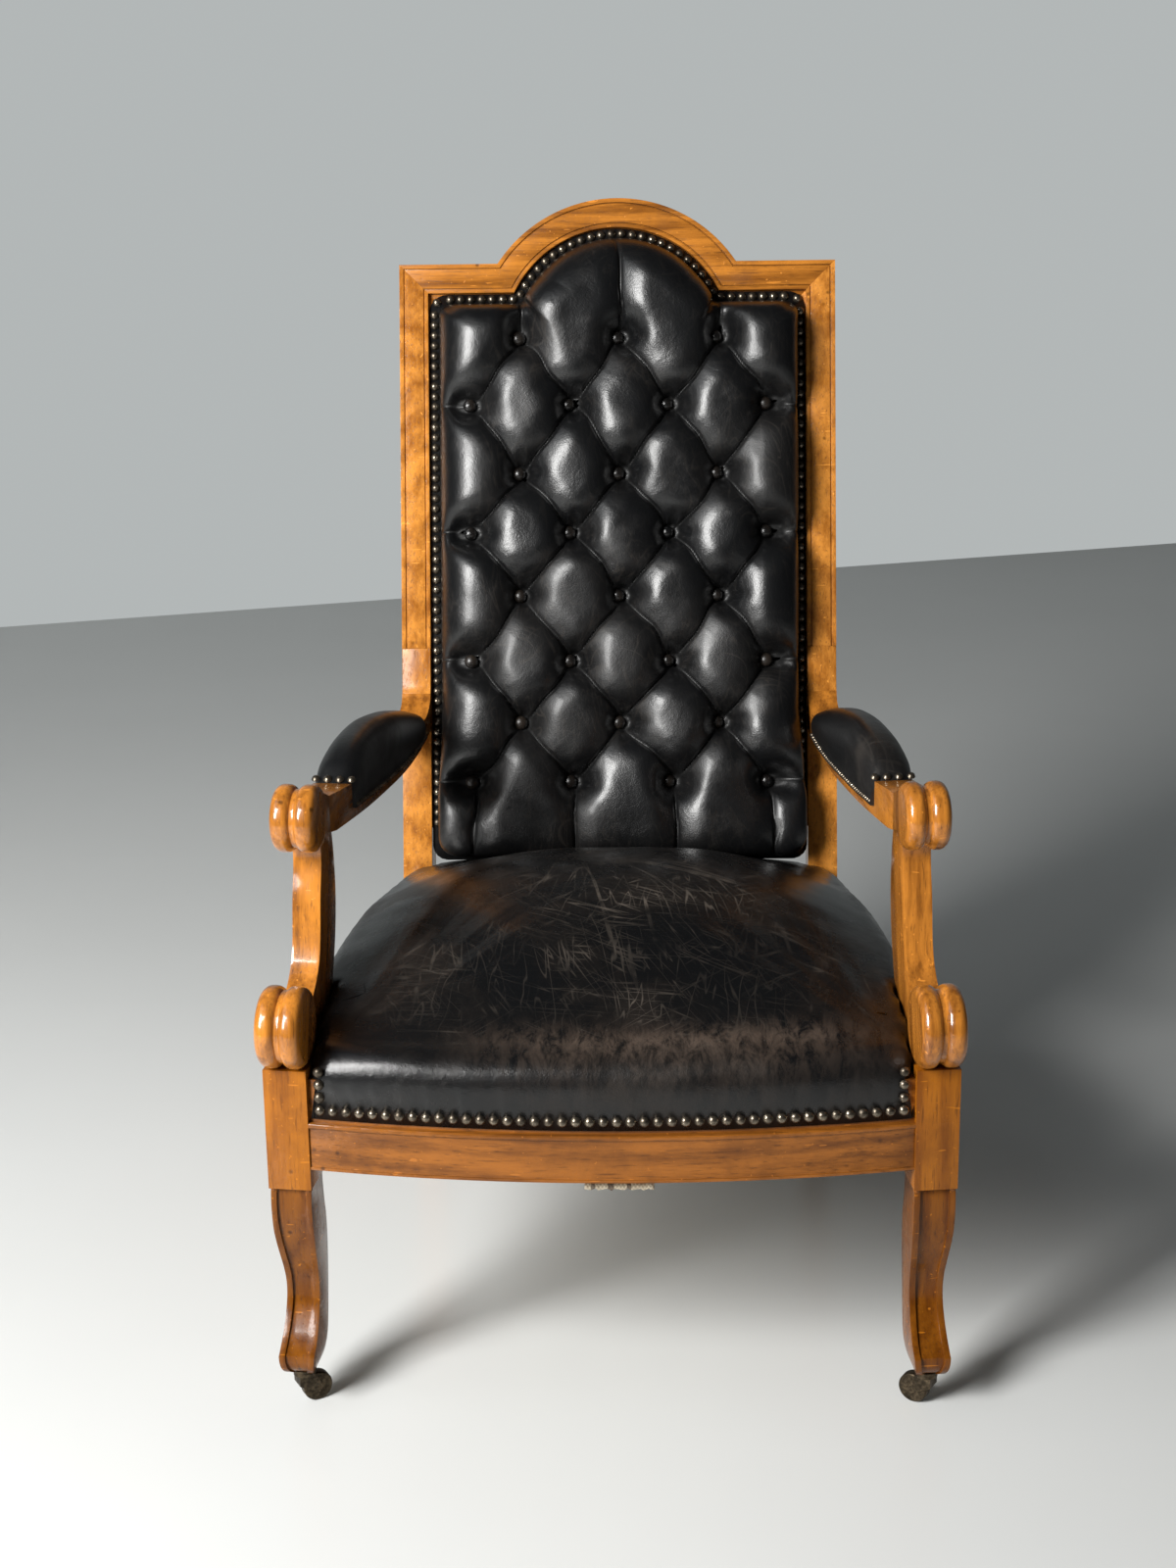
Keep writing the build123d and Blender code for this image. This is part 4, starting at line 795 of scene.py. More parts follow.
# The back cushion in the back's own plane: x across, s up the slope, t forward
cushion = {
    "half": 0.2095,
    "bottom": 0.036,
    "shoulder": 0.6807,
    "archCentre": 0.6348,
    "archRadius": 0.1213,
    "corner": 0.010,
    "lowCorner": 0.006,
    "archCorner": 0.012,
    "valley": 0.024,
    "crown": 0.060,
    "flange": -0.0050,
    # The roll over the edge: its width, where the top's and the sides' begin, and their forms
    "roll": 0.034,
    "topRoll": 0.050,
    "topRamp": (0.60, 0.07),
    "topTurn": 1.6,
    "sideRamp": (0.10, 0.10),
    "sideSoft": 0.75,
    "insetPower": 1.5,
    "insetTop": 0.5,
    "insetFlank": 0.2,
    "overhang": 0.009,
    "overhangFlank": 0.8,
    "risePower": 0.75,
    "lean": 0.006,
    "leanDepth": 0.05,
    # Painted shade at the hem: where the pleats' shade fades out, and how wide the hem's own shade is
    "hemClear": 0.02,
    "hemShade": 0.004,
    "step": 0.0018,
    "slopeStep": 0.004,
    "rows": (0.635, 0.557, 0.4765, 0.408, 0.3345, 0.258, 0.186, 0.1165),
    "oddRow": (-0.115, 0.003, 0.119),
    "evenRow": (-0.170, -0.055, 0.060, 0.172),
    "pleatReach": 0.075,
    "archPleat": -0.004,
    "shoulderPleat": 0.1123,
    "sidePleatRise": 0.002,
    "lowPleatSpread": 1.03,
    "stages": ((0.0, -0.0051), (0.0125, -0.0052), (0.0, -0.0068), (-0.0165, -0.0069), (0.0, -0.0266)),
}
# How a tuft swells between its pleats, and what the buttons pull in
tuft = {
    "blend": 0.0055,
    "blendShare": 0.9,
    "full": 0.040,
    "pleatHalf": 0.006,
    "pleatBlend": 0.10,
    "fullPower": 0.80,
    "bridge": 0.62,
    "bridgeReach": 0.022,
    "wellStart": 0.0080,
    "wellReach": 0.0085,
    "fold": {"height": 0.0009, "ring": (0.014, 0.010), "counts": (5, 9), "seed": 11},
    "slit": {"depth": 0.0014, "half": 0.0020},
    "wander": {"reach": 0.0022, "size": 0.07, "seeds": (5, 6)},
    "uneven": {"share": 0.045, "size": 0.16, "seed": 3},
    "fine": {"height": 0.00025, "size": 0.035, "seed": 8},
    # Painted shade in the pleats and in the wells round the buttons
    "pleatShadeHalf": 0.0018,
    "pleatShadeShare": 0.8,
    "buttonShadeReach": 0.0100,
    "buttonShadePower": 6,
}


def cushionEdge(x, s):
    side = cushion["half"] - np.abs(x)
    top = cushion["shoulder"] - s
    low = s - cushion["bottom"]
    block = softMin(softMin(side, top, cushion["corner"]), low, cushion["lowCorner"])
    arch = cushion["archRadius"] - np.hypot(x, s - cushion["archCentre"])
    return softMax(block, arch, cushion["archCorner"])


def tuftPlan():
    buttons = []
    for index, s in enumerate(cushion["rows"]):
        row = cushion["evenRow"] if index % 2 else cushion["oddRow"]
        buttons.append([(x, s) for x in row])
    pleats = []
    for upper, lower in zip(buttons, buttons[1:]):
        pleats += [(a, b) for a in upper for b in lower if abs(a[0] - b[0]) < cushion["pleatReach"]]
    left, middle, right = buttons[0]
    pleats.append((middle, (cushion["archPleat"], cushion["archCentre"] + cushion["archRadius"])))
    pleats.append((left, (-cushion["shoulderPleat"], cushion["shoulder"])))
    pleats.append((right, (cushion["shoulderPleat"], cushion["shoulder"])))
    for row in buttons[1::2]:
        pleats.append((row[0], (-cushion["half"], row[0][1] + cushion["sidePleatRise"])))
        pleats.append((row[-1], (cushion["half"], row[-1][1] + cushion["sidePleatRise"])))
    for x, s in buttons[-1]:
        pleats.append(((x, s), (cushion["lowPleatSpread"] * x, cushion["bottom"])))
    return [spot for row in buttons for spot in row], pleats


def tuftHeight(x, s):
    buttons, pleats = tuftPlan()
    wander, fold, slit = tuft["wander"], tuft["fold"], tuft["slit"]
    wobbleX, wobbleS = (
        line + wander["reach"] * waves(x, s, seed, wander["size"])
        for line, seed in zip((x, s), wander["seeds"])
    )
    crease = np.full_like(x, farAway)
    gathered = np.zeros_like(x)
    for start, end in pleats:
        away = segmentDistance(wobbleX, wobbleS, start, end)
        crease = np.minimum(crease, away)
        gathered += np.exp(-away / tuft["blend"])
    gathered = -tuft["blend"] * np.log(gathered)
    clear = np.clip(gathered + tuft["blend"] * tuft["blendShare"], 0, None)
    near = np.full_like(x, farAway)
    wrinkle = np.zeros_like(x)
    source = np.random.default_rng(fold["seed"])
    for bx, bs in buttons:
        away = np.hypot(x - bx, s - bs)
        angle = np.arctan2(s - bs, x - bx)
        folds = np.cos(source.integers(*fold["counts"]) * angle + source.uniform(0, wholeTurn))
        wrinkle += folds * bell(away, *fold["ring"])
        near = np.minimum(near, away)
    full = 1 - (1 - np.minimum(clear / tuft["full"], 1)) ** 2
    full = softMin(full, np.minimum(crease / tuft["pleatHalf"], 1), tuft["pleatBlend"]) ** tuft["fullPower"]
    bridge = tuft["bridge"] * (1 - np.exp(-near / tuft["bridgeReach"]))
    well = 1 - np.exp(-np.maximum(near - tuft["wellStart"], 0) / tuft["wellReach"])
    shape = (bridge + (1 - bridge) * full) * well
    uneven, fine = (waves(x, s, tuft[key]["seed"], tuft[key]["size"]) for key in ("uneven", "fine"))
    crown = cushion["crown"] * (1 + tuft["uneven"]["share"] * uneven)
    height = cushion["valley"] + (crown - cushion["valley"]) * shape
    height += fold["height"] * wrinkle + tuft["fine"]["height"] * fine * full
    height -= slit["depth"] * bell(crease, 0, slit["half"])
    # Painted shade along each pleat and round each button
    dark = bell(crease, 0, tuft["pleatShadeHalf"]) * tuft["pleatShadeShare"]
    return height, np.maximum(dark, bell(near, 0, tuft["buttonShadeReach"], tuft["buttonShadePower"]))


def makeCushion():
    step = cushion["step"] * 1.0
    top = cushion["archCentre"] + cushion["archRadius"]
    xs = np.arange(-cushion["half"] - step, cushion["half"] + 1.5 * step, step)
    ss = np.arange(cushion["bottom"] - step, top + 1.5 * step, step)
    x, s, faces = trimmedGrid(xs, ss, cushionEdge, step)
    height, dark = tuftHeight(x, s)
    inner = np.maximum(cushionEdge(x, s), 0)
    gradX, gradS = gradient(cushionEdge, x, s, cushion["slopeStep"])
    # Steep swelling sides and bottom, and a gentler slope up to the crest
    above = ramp(s, *cushion["sideRamp"])
    upper = ramp(s, *cushion["topRamp"]) * np.clip(-cushion["topTurn"] * gradS, 0, 1)
    soft = np.maximum(upper, cushion["sideSoft"] * gradX ** 2 * above)
    roll = cushion["roll"] + (cushion["topRoll"] - cushion["roll"]) * soft
    turn = np.minimum(inner / roll, 1) * math.pi / 2
    flank = gradX ** 2 * (1 - upper) * above
    power = cushion["insetPower"] - cushion["insetTop"] * upper - cushion["insetFlank"] * flank
    inset = roll * (1 - np.cos(turn)) ** power
    inset -= cushion["overhang"] * (1 - upper) * (1 - cushion["overhangFlank"] * flank) * np.sin(2 * turn)
    moved = np.where(inner < roll, inset - inner, 0.0)
    rise = np.sin(turn) ** (cushion["risePower"] + (1 - cushion["risePower"]) * soft)
    t = cushion["flange"] + (height - cushion["flange"]) * rise
    x, s = x + moved * gradX, s + moved * gradS
    x = x + cushion["lean"] * np.clip(t, 0, None) / cushion["leanDepth"]
    # Painted shade along the hem, with the pleats' shade faded out near it
    dark = dark * ramp(inner, 0, cushion["hemClear"]) + (1 - ramp(inner, 0, cushion["hemShade"]))
    work = closeBehind(np.stack([x, s, t], 1), faces, cushionEdge, cushion["stages"])
    for vert in work.verts:
        vert.co = backPoint(*vert.co)
    mesh = closeMesh(work, bpy.data.meshes.new("back.cushion"))
    mesh.shade_smooth()
    paintPoints(mesh, "crease", np.clip(dark, 0, 1))
    piece = showPiece("back.cushion", mesh, hides["back"], None, ("back_cushion",))
    return piece


hides = {
    "back": makeHide("blackLeatherBack", rubbed=0.14, brown=0.08, gloss=0.31),
    "seat": makeHide("blackLeatherSeat", rubbed=1.0, brown=0.30, gloss=0.25, shine=0.38, band=True),
    "arm": makeHide("blackLeatherArm", rubbed=0.16, brown=0.30, gloss=0.36),
    "button": makeHide("blackLeatherButton", pebble=1500.0, rubbed=0.2, brown=0.9, gloss=0.22),
}
makeCushion()
print("cushion ready")

seat = {
    "backY": 0.222,
    "hem": 0.311,
    "outerV": 0.0125,
    "half": 0.33,
    "frontY": -0.425,
    # What stands in the seat at each side, as its rear end and its inner face
    "notches": ((0.0453, -0.0195), (0.0528, -0.0204), (0.131, -0.0143)),
    "postX": 0.2227,
    "postY": 0.1917,
    "corner": 0.012,
    "notchCorner": 0.012,
    "notchBlend": 0.006,
    "cutSlope": 2.6,
    "cutBlend": 0.004,
    "crown": 0.108,
    "acrossPower": 2.4,
    "edgeRise": 0.012,
    "floor": 0.360,
    "roll": 0.030,
    "insetPower": 1.2,
    "overhang": 0.0036,
    "risePower": 0.62,
    # Near what stands in the seat the rim hardly moves, and painted shade darkens the hide there
    "stillReach": 0.02,
    "stillShare": 0.35,
    "paintedShadeReach": 0.012,
    "paintedShadeShare": 0.7,
    # The rubbed band and the worn part, behind the front edge and across
    "bandDepth": (0.040, 0.021),
    "bandAcross": (0.065, 0.175, 4),
    "wornDepth": (0.024, 0.03),
    "wornAcross": (0.03, 0.25, 4),
    "wornLeast": 0.35,
    "mostWornDepth": (0.20, 0.17),
    "mostWornAcross": (0.01, 0.20),
    "step": 0.0036,
    "slopeStep": 0.003,
    "stages": ((-0.003, 0.3111), (0.0, 0.330)),
    # Place along the depth, share of the crown at the middle, share of the rise at the sides
    "shares": (
        (-0.06, 0.15, 1.0),
        (0.02, 0.17, 1.05),
        (0.08, 0.24, 1.3),
        (0.19, 0.52, 2.2),
        (0.33, 0.82, 3.1),
        (0.48, 0.97, 3.4),
        (0.66, 0.88, 2.7),
        (0.81, 0.63, 1.8),
        (0.91, 0.40, 1.3),
        (1.06, 0.06, 0.5),
    ),
}


def sideFrame(x, y):
    reach = np.abs(x) - chair["sideCentreX"]
    ahead = y - chair["frontY"]
    return -reach * sideSin + ahead * sideCos, reach * sideCos + ahead * sideSin


def seatParts(x, y):
    # Distance from the bowed front, the side and the back, and from what stands in the seat
    u, v = sideFrame(x, y)
    bow = chair["bowRadius"] - np.hypot(x, y - chair["bowFront"] - chair["bowRadius"])
    side = seat["outerV"] - v
    behind = seat["backY"] - y
    corners = [(u - backU, innerV - v) for backU, innerV in seat["notches"]]
    corners.append((seat["postX"] - np.abs(x), seat["postY"] - y))
    cut = np.full_like(x, farAway)
    for first, second in corners:
        cut = softMin(cut, softMax(first, second, seat["notchCorner"]), seat["notchBlend"])
    return bow, side, behind, cut


def seatEdge(x, y):
    bow, side, behind, cut = seatParts(x, y)
    outline = softMin(softMin(bow, side, seat["corner"]), behind, seat["corner"])
    return softMin(outline, seat["cutSlope"] * cut, seat["cutBlend"])


def seatCrown(x, y):
    depth = (y - chair["bowFront"]) / (seat["backY"] - chair["bowFront"])
    middle = seat["floor"] + seat["crown"] * spline(seat["shares"], 1, depth)
    rim = seat["floor"] + seat["edgeRise"] * spline(seat["shares"], 2, depth)
    half = chair["sideCentreX"] - (y - chair["frontY"]) * sideSin / sideCos + seat["outerV"]
    across = np.clip(np.abs(x) / half, 0, 1)
    return rim + (middle - rim) * (1 - across ** seat["acrossPower"])


drag = {
    # Height, seed and size of the slow unevenness
    "uneven": ((0.0012, 21, 0.16), (0.0003, 22, 0.05)),
    "corner": (0.27, -0.36),
    "broad": {"height": 0.0006, "count": 13, "phase": 1.5, "reach": (0.09, 0.05)},
    "fine": {"height": 0.0008, "count": 34, "bend": 9, "reach": (0.17, 0.10), "start": 0.05},
    "toward": (0.75, 0.42),
}


def seatFolds(x, y):
    # Slow unevenness, and long soft drag folds from the two front corners
    lift = sum(height * waves(x, y, seed, size) for height, seed, size in drag["uneven"])
    broad, fine = drag["broad"], drag["fine"]
    cornerX, cornerY = drag["corner"]
    for side in (-1, 1):
        fromX, fromY = x - side * cornerX, y - cornerY
        angle = np.arctan2(-side * fromX, fromY)
        away = np.hypot(fromX, fromY)
        ripple = np.sin(broad["count"] * angle + broad["phase"])
        lift += broad["height"] * ripple * bell(away, *broad["reach"])
        spread = bell(away, *fine["reach"]) * ramp(away, 0, fine["start"])
        ripple = np.sin(fine["count"] * angle + fine["bend"] * away) ** 3
        lift += fine["height"] * ripple * bell(angle, *drag["toward"]) * spread
    return lift


def makeSeat():
    step = seat["step"] * 1.0
    xs = np.arange(-seat["half"], seat["half"] + step, step)
    ys = np.arange(seat["frontY"], seat["backY"] + 1.5 * step, step)
    x, y, faces = trimmedGrid(xs, ys, seatEdge, step)
    bow, _, _, cut = seatParts(x, y)
    inner = np.maximum(seatEdge(x, y), 0)
    gradX, gradY = gradient(seatEdge, x, y, seat["slopeStep"])
    roll, still, least = seat["roll"], seat["stillShare"], seat["wornLeast"]
    turn = np.minimum(inner / roll, 1) * math.pi / 2
    inset = roll * (1 - np.cos(turn)) ** seat["insetPower"] - seat["overhang"] * np.sin(2 * turn)
    moved = np.where(inner < roll, inset - inner, 0.0)
    moved *= still + (1 - still) * ramp(cut, 0, seat["stillReach"])
    top = seatCrown(x, y) + seatFolds(x, y)
    z = seat["hem"] + (top - seat["hem"]) * np.sin(turn) ** seat["risePower"]
    points = np.stack([x + moved * gradX, y + moved * gradY, z], 1)
    # Where the roll is rubbed brown, where lines show, and the painted shade round the arm supports
    band = bell(bow, *seat["bandDepth"]) * bell(x, *seat["bandAcross"])
    worn = bell(x, *seat["wornAcross"]) * ramp(bow, *seat["wornDepth"])
    worn *= least + (1 - least) * bell(x, *seat["mostWornAcross"]) * bell(bow, *seat["mostWornDepth"])
    # Painted shade: the hide goes darker close to the arm supports and posts
    dark = (1 - ramp(cut, 0, seat["paintedShadeReach"])) * seat["paintedShadeShare"]
    work = closeBehind(points, faces, seatEdge, seat["stages"])
    mesh = closeMesh(work, bpy.data.meshes.new("seat.cushion"))
    mesh.shade_smooth()
    for label, values in (("crease", dark), ("rubbed", band), ("worn", worn)):
        paintPoints(mesh, label, values)
    piece = showPiece("seat.cushion", mesh, hides["seat"], None, ("seat_leather", "seat_stuffing"))
    return piece


strip = {
    "outline": (
        (-0.0108, 0.352),
        (0.0085, 0.3525),
        (0.0112, 0.350),
        (0.0119, 0.345),
        (0.0119, 0.3112),
        (0.0108, 0.3112),
    ),
    "from": 0.0456,
    "to": 0.150,
    "stations": 24,
    "uneven": 0.0003,
    "unevenRate": 70,
}


def tubeFaces(stations, count):
    # Quads between rings of points, and a face over each end
    faces = []
    for row in range(stations - 1):
        for index in range(count):
            a, b = row * count + index, row * count + (index + 1) % count
            faces.append((a, b, b + count, a + count))
    faces.append(tuple(range(count)))
    faces.append(tuple(range((stations - 1) * count, stations * count)))
    return faces


def makeRailStrip(side):
    # Hide drawn over the side rail under the arm support
    points = []
    for u in np.linspace(strip["from"], strip["to"], strip["stations"]):
        for index, (v, z) in enumerate(strip["outline"]):
            uneven = strip["uneven"] * math.sin(strip["unevenRate"] * u * (index + 1))
            points.append(sidePoint(side, u, v + uneven, z))
    faces = tubeFaces(strip["stations"], len(strip["outline"]))
    mesh = meshOf("seat.strip", points, faces, smooth=False)
    closeMesh(openMesh(mesh, merge["shape"]), mesh)
    name = "seat.strip_left" if side < 0 else "seat.strip_right"
    piece = showPiece(name, mesh, hides["seat"])
    smoothByAngle(piece, smoothAngle["cloth"])
    return piece


makeSeat()
for side in (-1, 1):
    makeRailStrip(side)
print("seat ready")

# The arm's line seen from above, and the pad on it
pad = {
    "start": (0.293668, -0.253877),
    "end": (0.240, 0.2365),
    "reach": 0.4933,
    "first": 0.093,
    "last": 0.439,
    "underHigh": 0.556,
    "underDrop": 0.032,
    # How far the arm's underside sinks along its length, as place and share
    "under": (
        (0, 0),
        (0.05, 0.17),
        (0.16, 0.37),
        (0.33, 0.66),
        (0.54, 0.92),
        (0.72, 1.06),
        (0.86, 1.0),
        (1, 0.75),
    ),
    "lift": 0.011,
    "width": 0.0445,
    "bulge": 0.0050,
    "height": 0.070,
    "rings": 74,
    "around": 48,
    "evenRings": 0.35,
    "frontWide": 0.06,
    "frontReach": 0.15,
    "frontPower": 0.6,
    "tipFrom": 1.01,
    "tipReach": 0.03,
    "tipPower": 0.3,
    "bulgeRate": 10,
    "unevenRates": (9, 2),
    "sidePower": 0.62,
    "topPower": 0.80,
    "uneven": 0.0009,
    # Painted shade on the lowest part of each side of the pad
    "seamShadeHeight": 0.12,
    "heights": (
        (0, 0.365),
        (0.02, 0.45),
        (0.055, 0.60),
        (0.11, 0.76),
        (0.19, 0.90),
        (0.28, 0.97),
        (0.39, 1.0),
        (0.54, 0.96),
        (0.71, 0.87),
        (0.87, 0.68),
        (1, 0.44),
    ),
}


def armPoint(side, a, across, z):
    startX, startY = pad["start"]
    endX, endY = pad["end"]
    dx, dy = (endX - startX) / pad["reach"], (endY - startY) / pad["reach"]
    return Vector((side * (startX + a * dx + across * dy), startY + a * dy - across * dx, z))


def armBase(a):
    drop = spline(pad["under"], 1, np.array([a / pad["reach"]]))[0]
    return pad["underHigh"] - pad["underDrop"] * drop + pad["lift"]


def makePad(side):
    rings, around, wide = pad["rings"], pad["around"], pad["frontWide"]
    along, turned = pad["unevenRates"]
    points, dark = [], []
    for ring in range(rings + 1):
        share = 0.5 - 0.5 * math.cos(math.pi * ring / rings)
        share = pad["evenRings"] * ring / rings + (1 - pad["evenRings"]) * share
        a = pad["first"] + (pad["last"] - pad["first"]) * share
        tall = pad["height"] * float(spline(pad["heights"], 1, np.array([share]))[0])
        low = armBase(a)
        narrow = 1 + wide - wide * min(1.0, share / pad["frontReach"]) ** pad["frontPower"]
        narrow *= min(1.0, (pad["tipFrom"] - share) / pad["tipReach"]) ** pad["tipPower"]
        for step in range(around + 1):
            phi = math.pi * step / around
            fold = math.sin(2 * min(phi, math.pi - phi))
            swell = pad["width"] / 2 * narrow + pad["bulge"] * fold * min(1, pad["bulgeRate"] * share)
            across = swell * math.copysign(abs(math.cos(phi)) ** pad["sidePower"], math.cos(phi))
            up = math.sin(phi) ** pad["topPower"]
            uneven = pad["uneven"] * math.sin(along * share + turned * phi * side)
            uneven *= up * math.sin(math.pi * share)
            points.append(armPoint(side, a, across, low + tall * up + uneven))
            # Painted shade along the pad's lower edges, where it meets the arm
            dark.append(max(0.0, 1 - math.sin(phi) / pad["seamShadeHeight"]))
    name = "pad_left" if side < 0 else "pad_right"
    mesh = meshOf("arm." + name, points, tubeFaces(rings + 1, around + 1))
    closeMesh(openMesh(mesh), mesh)
    paintPoints(mesh, "crease", dark)
    piece = showPiece("arm." + name, mesh, hides["arm"], None, ("arm_" + name,))
    smoothByAngle(piece, smoothAngle["round"])
    return piece


for side in (-1, 1):
    makePad(side)
print("pads ready")


def islands(node):
    # The separate solids of a node, each as an array of points
    work = openMesh(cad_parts[node].data, merge["shape"])
    seen, found = set(), []
    for vert in work.verts:
        if vert in seen:
            continue
        queue, group = [vert], []
        seen.add(vert)
        while queue:
            current = queue.pop()
            group.append(tuple(current.co))
            for link in current.link_edges:
                other = link.other_vert(current)
                if other not in seen:
                    seen.add(other)
                    queue.append(other)
        found.append(np.array(group))
    work.free()
    return found


def domeMesh(name, radius, height, rings, around, lift=0.0):
    # Low dome: a UV sphere cut at its middle or at the lift, squashed, and closed underneath
    bpy.ops.mesh.primitive_uv_sphere_add(segments=around, ring_count=2 * rings, radius=radius)
    made = bpy.context.object
    bpy.ops.object.mode_set(mode="EDIT")
    bpy.ops.mesh.select_all(action="SELECT")
    bpy.ops.mesh.bisect(
        plane_co=(0, 0, radius * lift), plane_no=(0, 0, 1), clear_inner=True, use_fill=True
    )
    bpy.ops.mesh.select_all(action="SELECT")
    bpy.ops.mesh.normals_make_consistent(inside=False)
    bpy.ops.object.mode_set(mode="OBJECT")
    mesh = made.data.copy()
    bpy.data.objects.remove(made)
    mesh.name = name
    for vert in mesh.vertices:
        vert.co.z = (vert.co.z - radius * lift) * height / (radius * (1 - lift))
    return mesh


jitter = {"seed": 4, "size": 0.05}


def scatter(name, shape, places, material, stands, lean):
    # One shape at many places, each turned and tipped a little, merged to one piece
    source = np.random.default_rng(jitter["seed"])
    base = np.array([vert.co[:] for vert in shape.vertices])
    cells = [tuple(face.vertices) for face in shape.polygons]
    points, faces = [], []
    for place, outward in places:
        tip = Vector(source.uniform(-lean, lean, 3))
        turn = (Vector(outward).normalized() + tip).normalized().to_track_quat("Z", "Y").to_matrix()
        spin = Matrix.Rotation(source.uniform(0, wholeTurn), 3, "Z")
        size = 1 + source.uniform(-jitter["size"], jitter["size"])
        placed = np.array(turn @ spin) @ (base * size).T
        start = len(points)
        points += (placed.T + np.array(place)).tolist()
        faces += [tuple(index + start for index in face) for face in cells]
    piece = showPiece(name, meshOf(name, points, faces), material, None, stands)
    smoothByAngle(piece, smoothAngle["round"])


bronze = makeMetal("nailBronze", (0.060, 0.048, 0.036), (0.25, 0.21, 0.16), 0.22, 0.40)
iron = makeMetal("casterBronze", (0.030, 0.023, 0.015), (0.105, 0.078, 0.048), 0.34, 0.62, 300.0)
domes = {
    "nail.head": {"radius": 0.0053, "height": 0.0042, "rings": 3, "around": 10},
    "nail.small": {"radius": 0.0029, "height": 0.0026, "rings": 2, "around": 8},
    "nail.front": {"radius": 0.0045, "height": 0.0034, "rings": 2, "around": 10},
    "button.head": {"radius": 0.0080, "height": 0.0076, "rings": 5, "around": 16, "lift": -0.25},
}
# How deep a dome sits under the top of its solid, and where the rail's side nails begin
sunk = {"nail": 0.0032, "button": 0.0042}
sideNails = {"v": 0.004, "u": 0.044}
padNails = {
    "count": 37,
    "end": 0.006,
    "out": 0.0008,
    "up": 0.0040,
    "frontCount": 4,
    "frontPitch": 0.0124,
    "frontBack": 0.0035,
    "frontUp": 0.0288,
    "frontLean": (-0.5, 0.85),
}


def onTop(points, outward, depth):
    # A place over the solid's middle, the given depth under its top, with its direction
    centre, direction = points.mean(0), np.array(outward)
    top = (points @ direction).max()
    return centre + direction * (top - centre @ direction - depth), outward


def seatNailPlaces():
    places = []
    for points in islands("seat_nails"):
        x, y = points.mean(0)[:2]
        u, v = sideFrame(np.array([x]), np.array([y]))
        if v[0] > sideNails["v"] and u[0] > sideNails["u"]:
            outward = Vector((math.copysign(1, x) * sideCos, sideSin, 0))
        else:
            outward = Vector((x, y - chair["bowFront"] - chair["bowRadius"], 0)).normalized()
        places.append(onTop(points, outward, sunk["nail"]))
    return places


def backPlaces(node, depth):
    return [onTop(points, backNormal, depth) for points in islands(node)]


def padNailPlaces():
    places = []
    first, last = pad["first"] + padNails["end"], pad["last"] - padNails["end"]
    for side in (-1, 1):
        for edge in (-1, 1):
            outward = armPoint(side, 0, edge, 0) - armPoint(side, 0, 0, 0)
            across = edge * (pad["width"] / 2 + padNails["out"])
            for a in np.linspace(first, last, padNails["count"]):
                places.append((armPoint(side, a, across, armBase(a) + padNails["up"]), outward))
    return places


def padFrontPlaces():
    places = []
    back, up = padNails["frontLean"]
    height = armBase(pad["first"]) + padNails["frontUp"]
    for side in (-1, 1):
        outward = armPoint(side, back, 0, up) - armPoint(side, 0, 0, 0)
        for index in range(padNails["frontCount"]):
            across = (index - (padNails["frontCount"] - 1) / 2) * padNails["frontPitch"]
            spot = armPoint(side, pad["first"] + padNails["frontBack"], across, height)
            places.append((spot, outward))
    return places


def scatterHeads():
    # Each piece's own name, its dome, its places, and how far its heads may lean
    backNails = backPlaces("back_nails", sunk["nail"])
    buttons = backPlaces("back_buttons", sunk["button"])
    for name, dome, places, material, stands, lean in (
        ("nails.seat", "nail.head", seatNailPlaces(), bronze, ("seat_nails",), 0.10),
        ("nails.back", "nail.head", backNails, bronze, ("back_nails",), 0.12),
        ("nails.pads", "nail.small", padNailPlaces(), bronze, (), 0.08),
        ("nails.padFronts", "nail.front", padFrontPlaces(), bronze, (), 0.08),
        ("back.buttons", "button.head", buttons, hides["button"], ("back_buttons",), 0.10),
    ):
        scatter(name, domeMesh(dome, **domes[dome]), places, material, stands, lean)


scatterHeads()
print("nails and buttons ready")

# Each caster part's body, width of the worn edges and the angle that counts as an edge
casterParts = {
    "plate": {"body": None, "edge": 0.0004, "angle": 30},
    "horn": {"body": "caster_fork_", "edge": 0.0005, "angle": 35},
    "axle": {"body": "caster_fork_", "edge": 0.0005, "angle": 35},
    "wheel": {"body": "caster_roller_", "edge": 0.0005, "angle": 35},
}
for side in ("left", "right"):
    for part, plan in casterParts.items():
        ending = part + "_" + side
        body = plan["body"] and plan["body"] + side
        dressNode("caster_" + ending, "caster." + ending, iron, plan["edge"], body, plan["angle"], 2)
print("casters ready")

# Three straps, each with a middle stripe and a thinner one on either side of it
strapStripes = {
    "straps": (-0.105, 0.0, 0.105),
    "lines": ((0.0, 0.003), (0.017, 0.002), (-0.017, 0.002)),
    "color": (0.10, 0.07, 0.05),
}
linen = makeCloth("webbingLinen", (0.62, 0.55, 0.42), (0.36, 0.30, 0.21), 900.0, strapStripes)
hessian = makeCloth("hessian", (0.36, 0.26, 0.15), (0.20, 0.14, 0.08), 500.0)
panelCloth = makeCloth("blackPanelCloth", (0.018, 0.017, 0.017), (0.008, 0.008, 0.009), 1100.0)
steel = makeMetal("springWire", (0.16, 0.13, 0.11), (0.38, 0.34, 0.30), 0.35, 0.6)
sag = {"longest": 0.03, "rounds": 3, "heightShare": 0.7, "seed": 31}


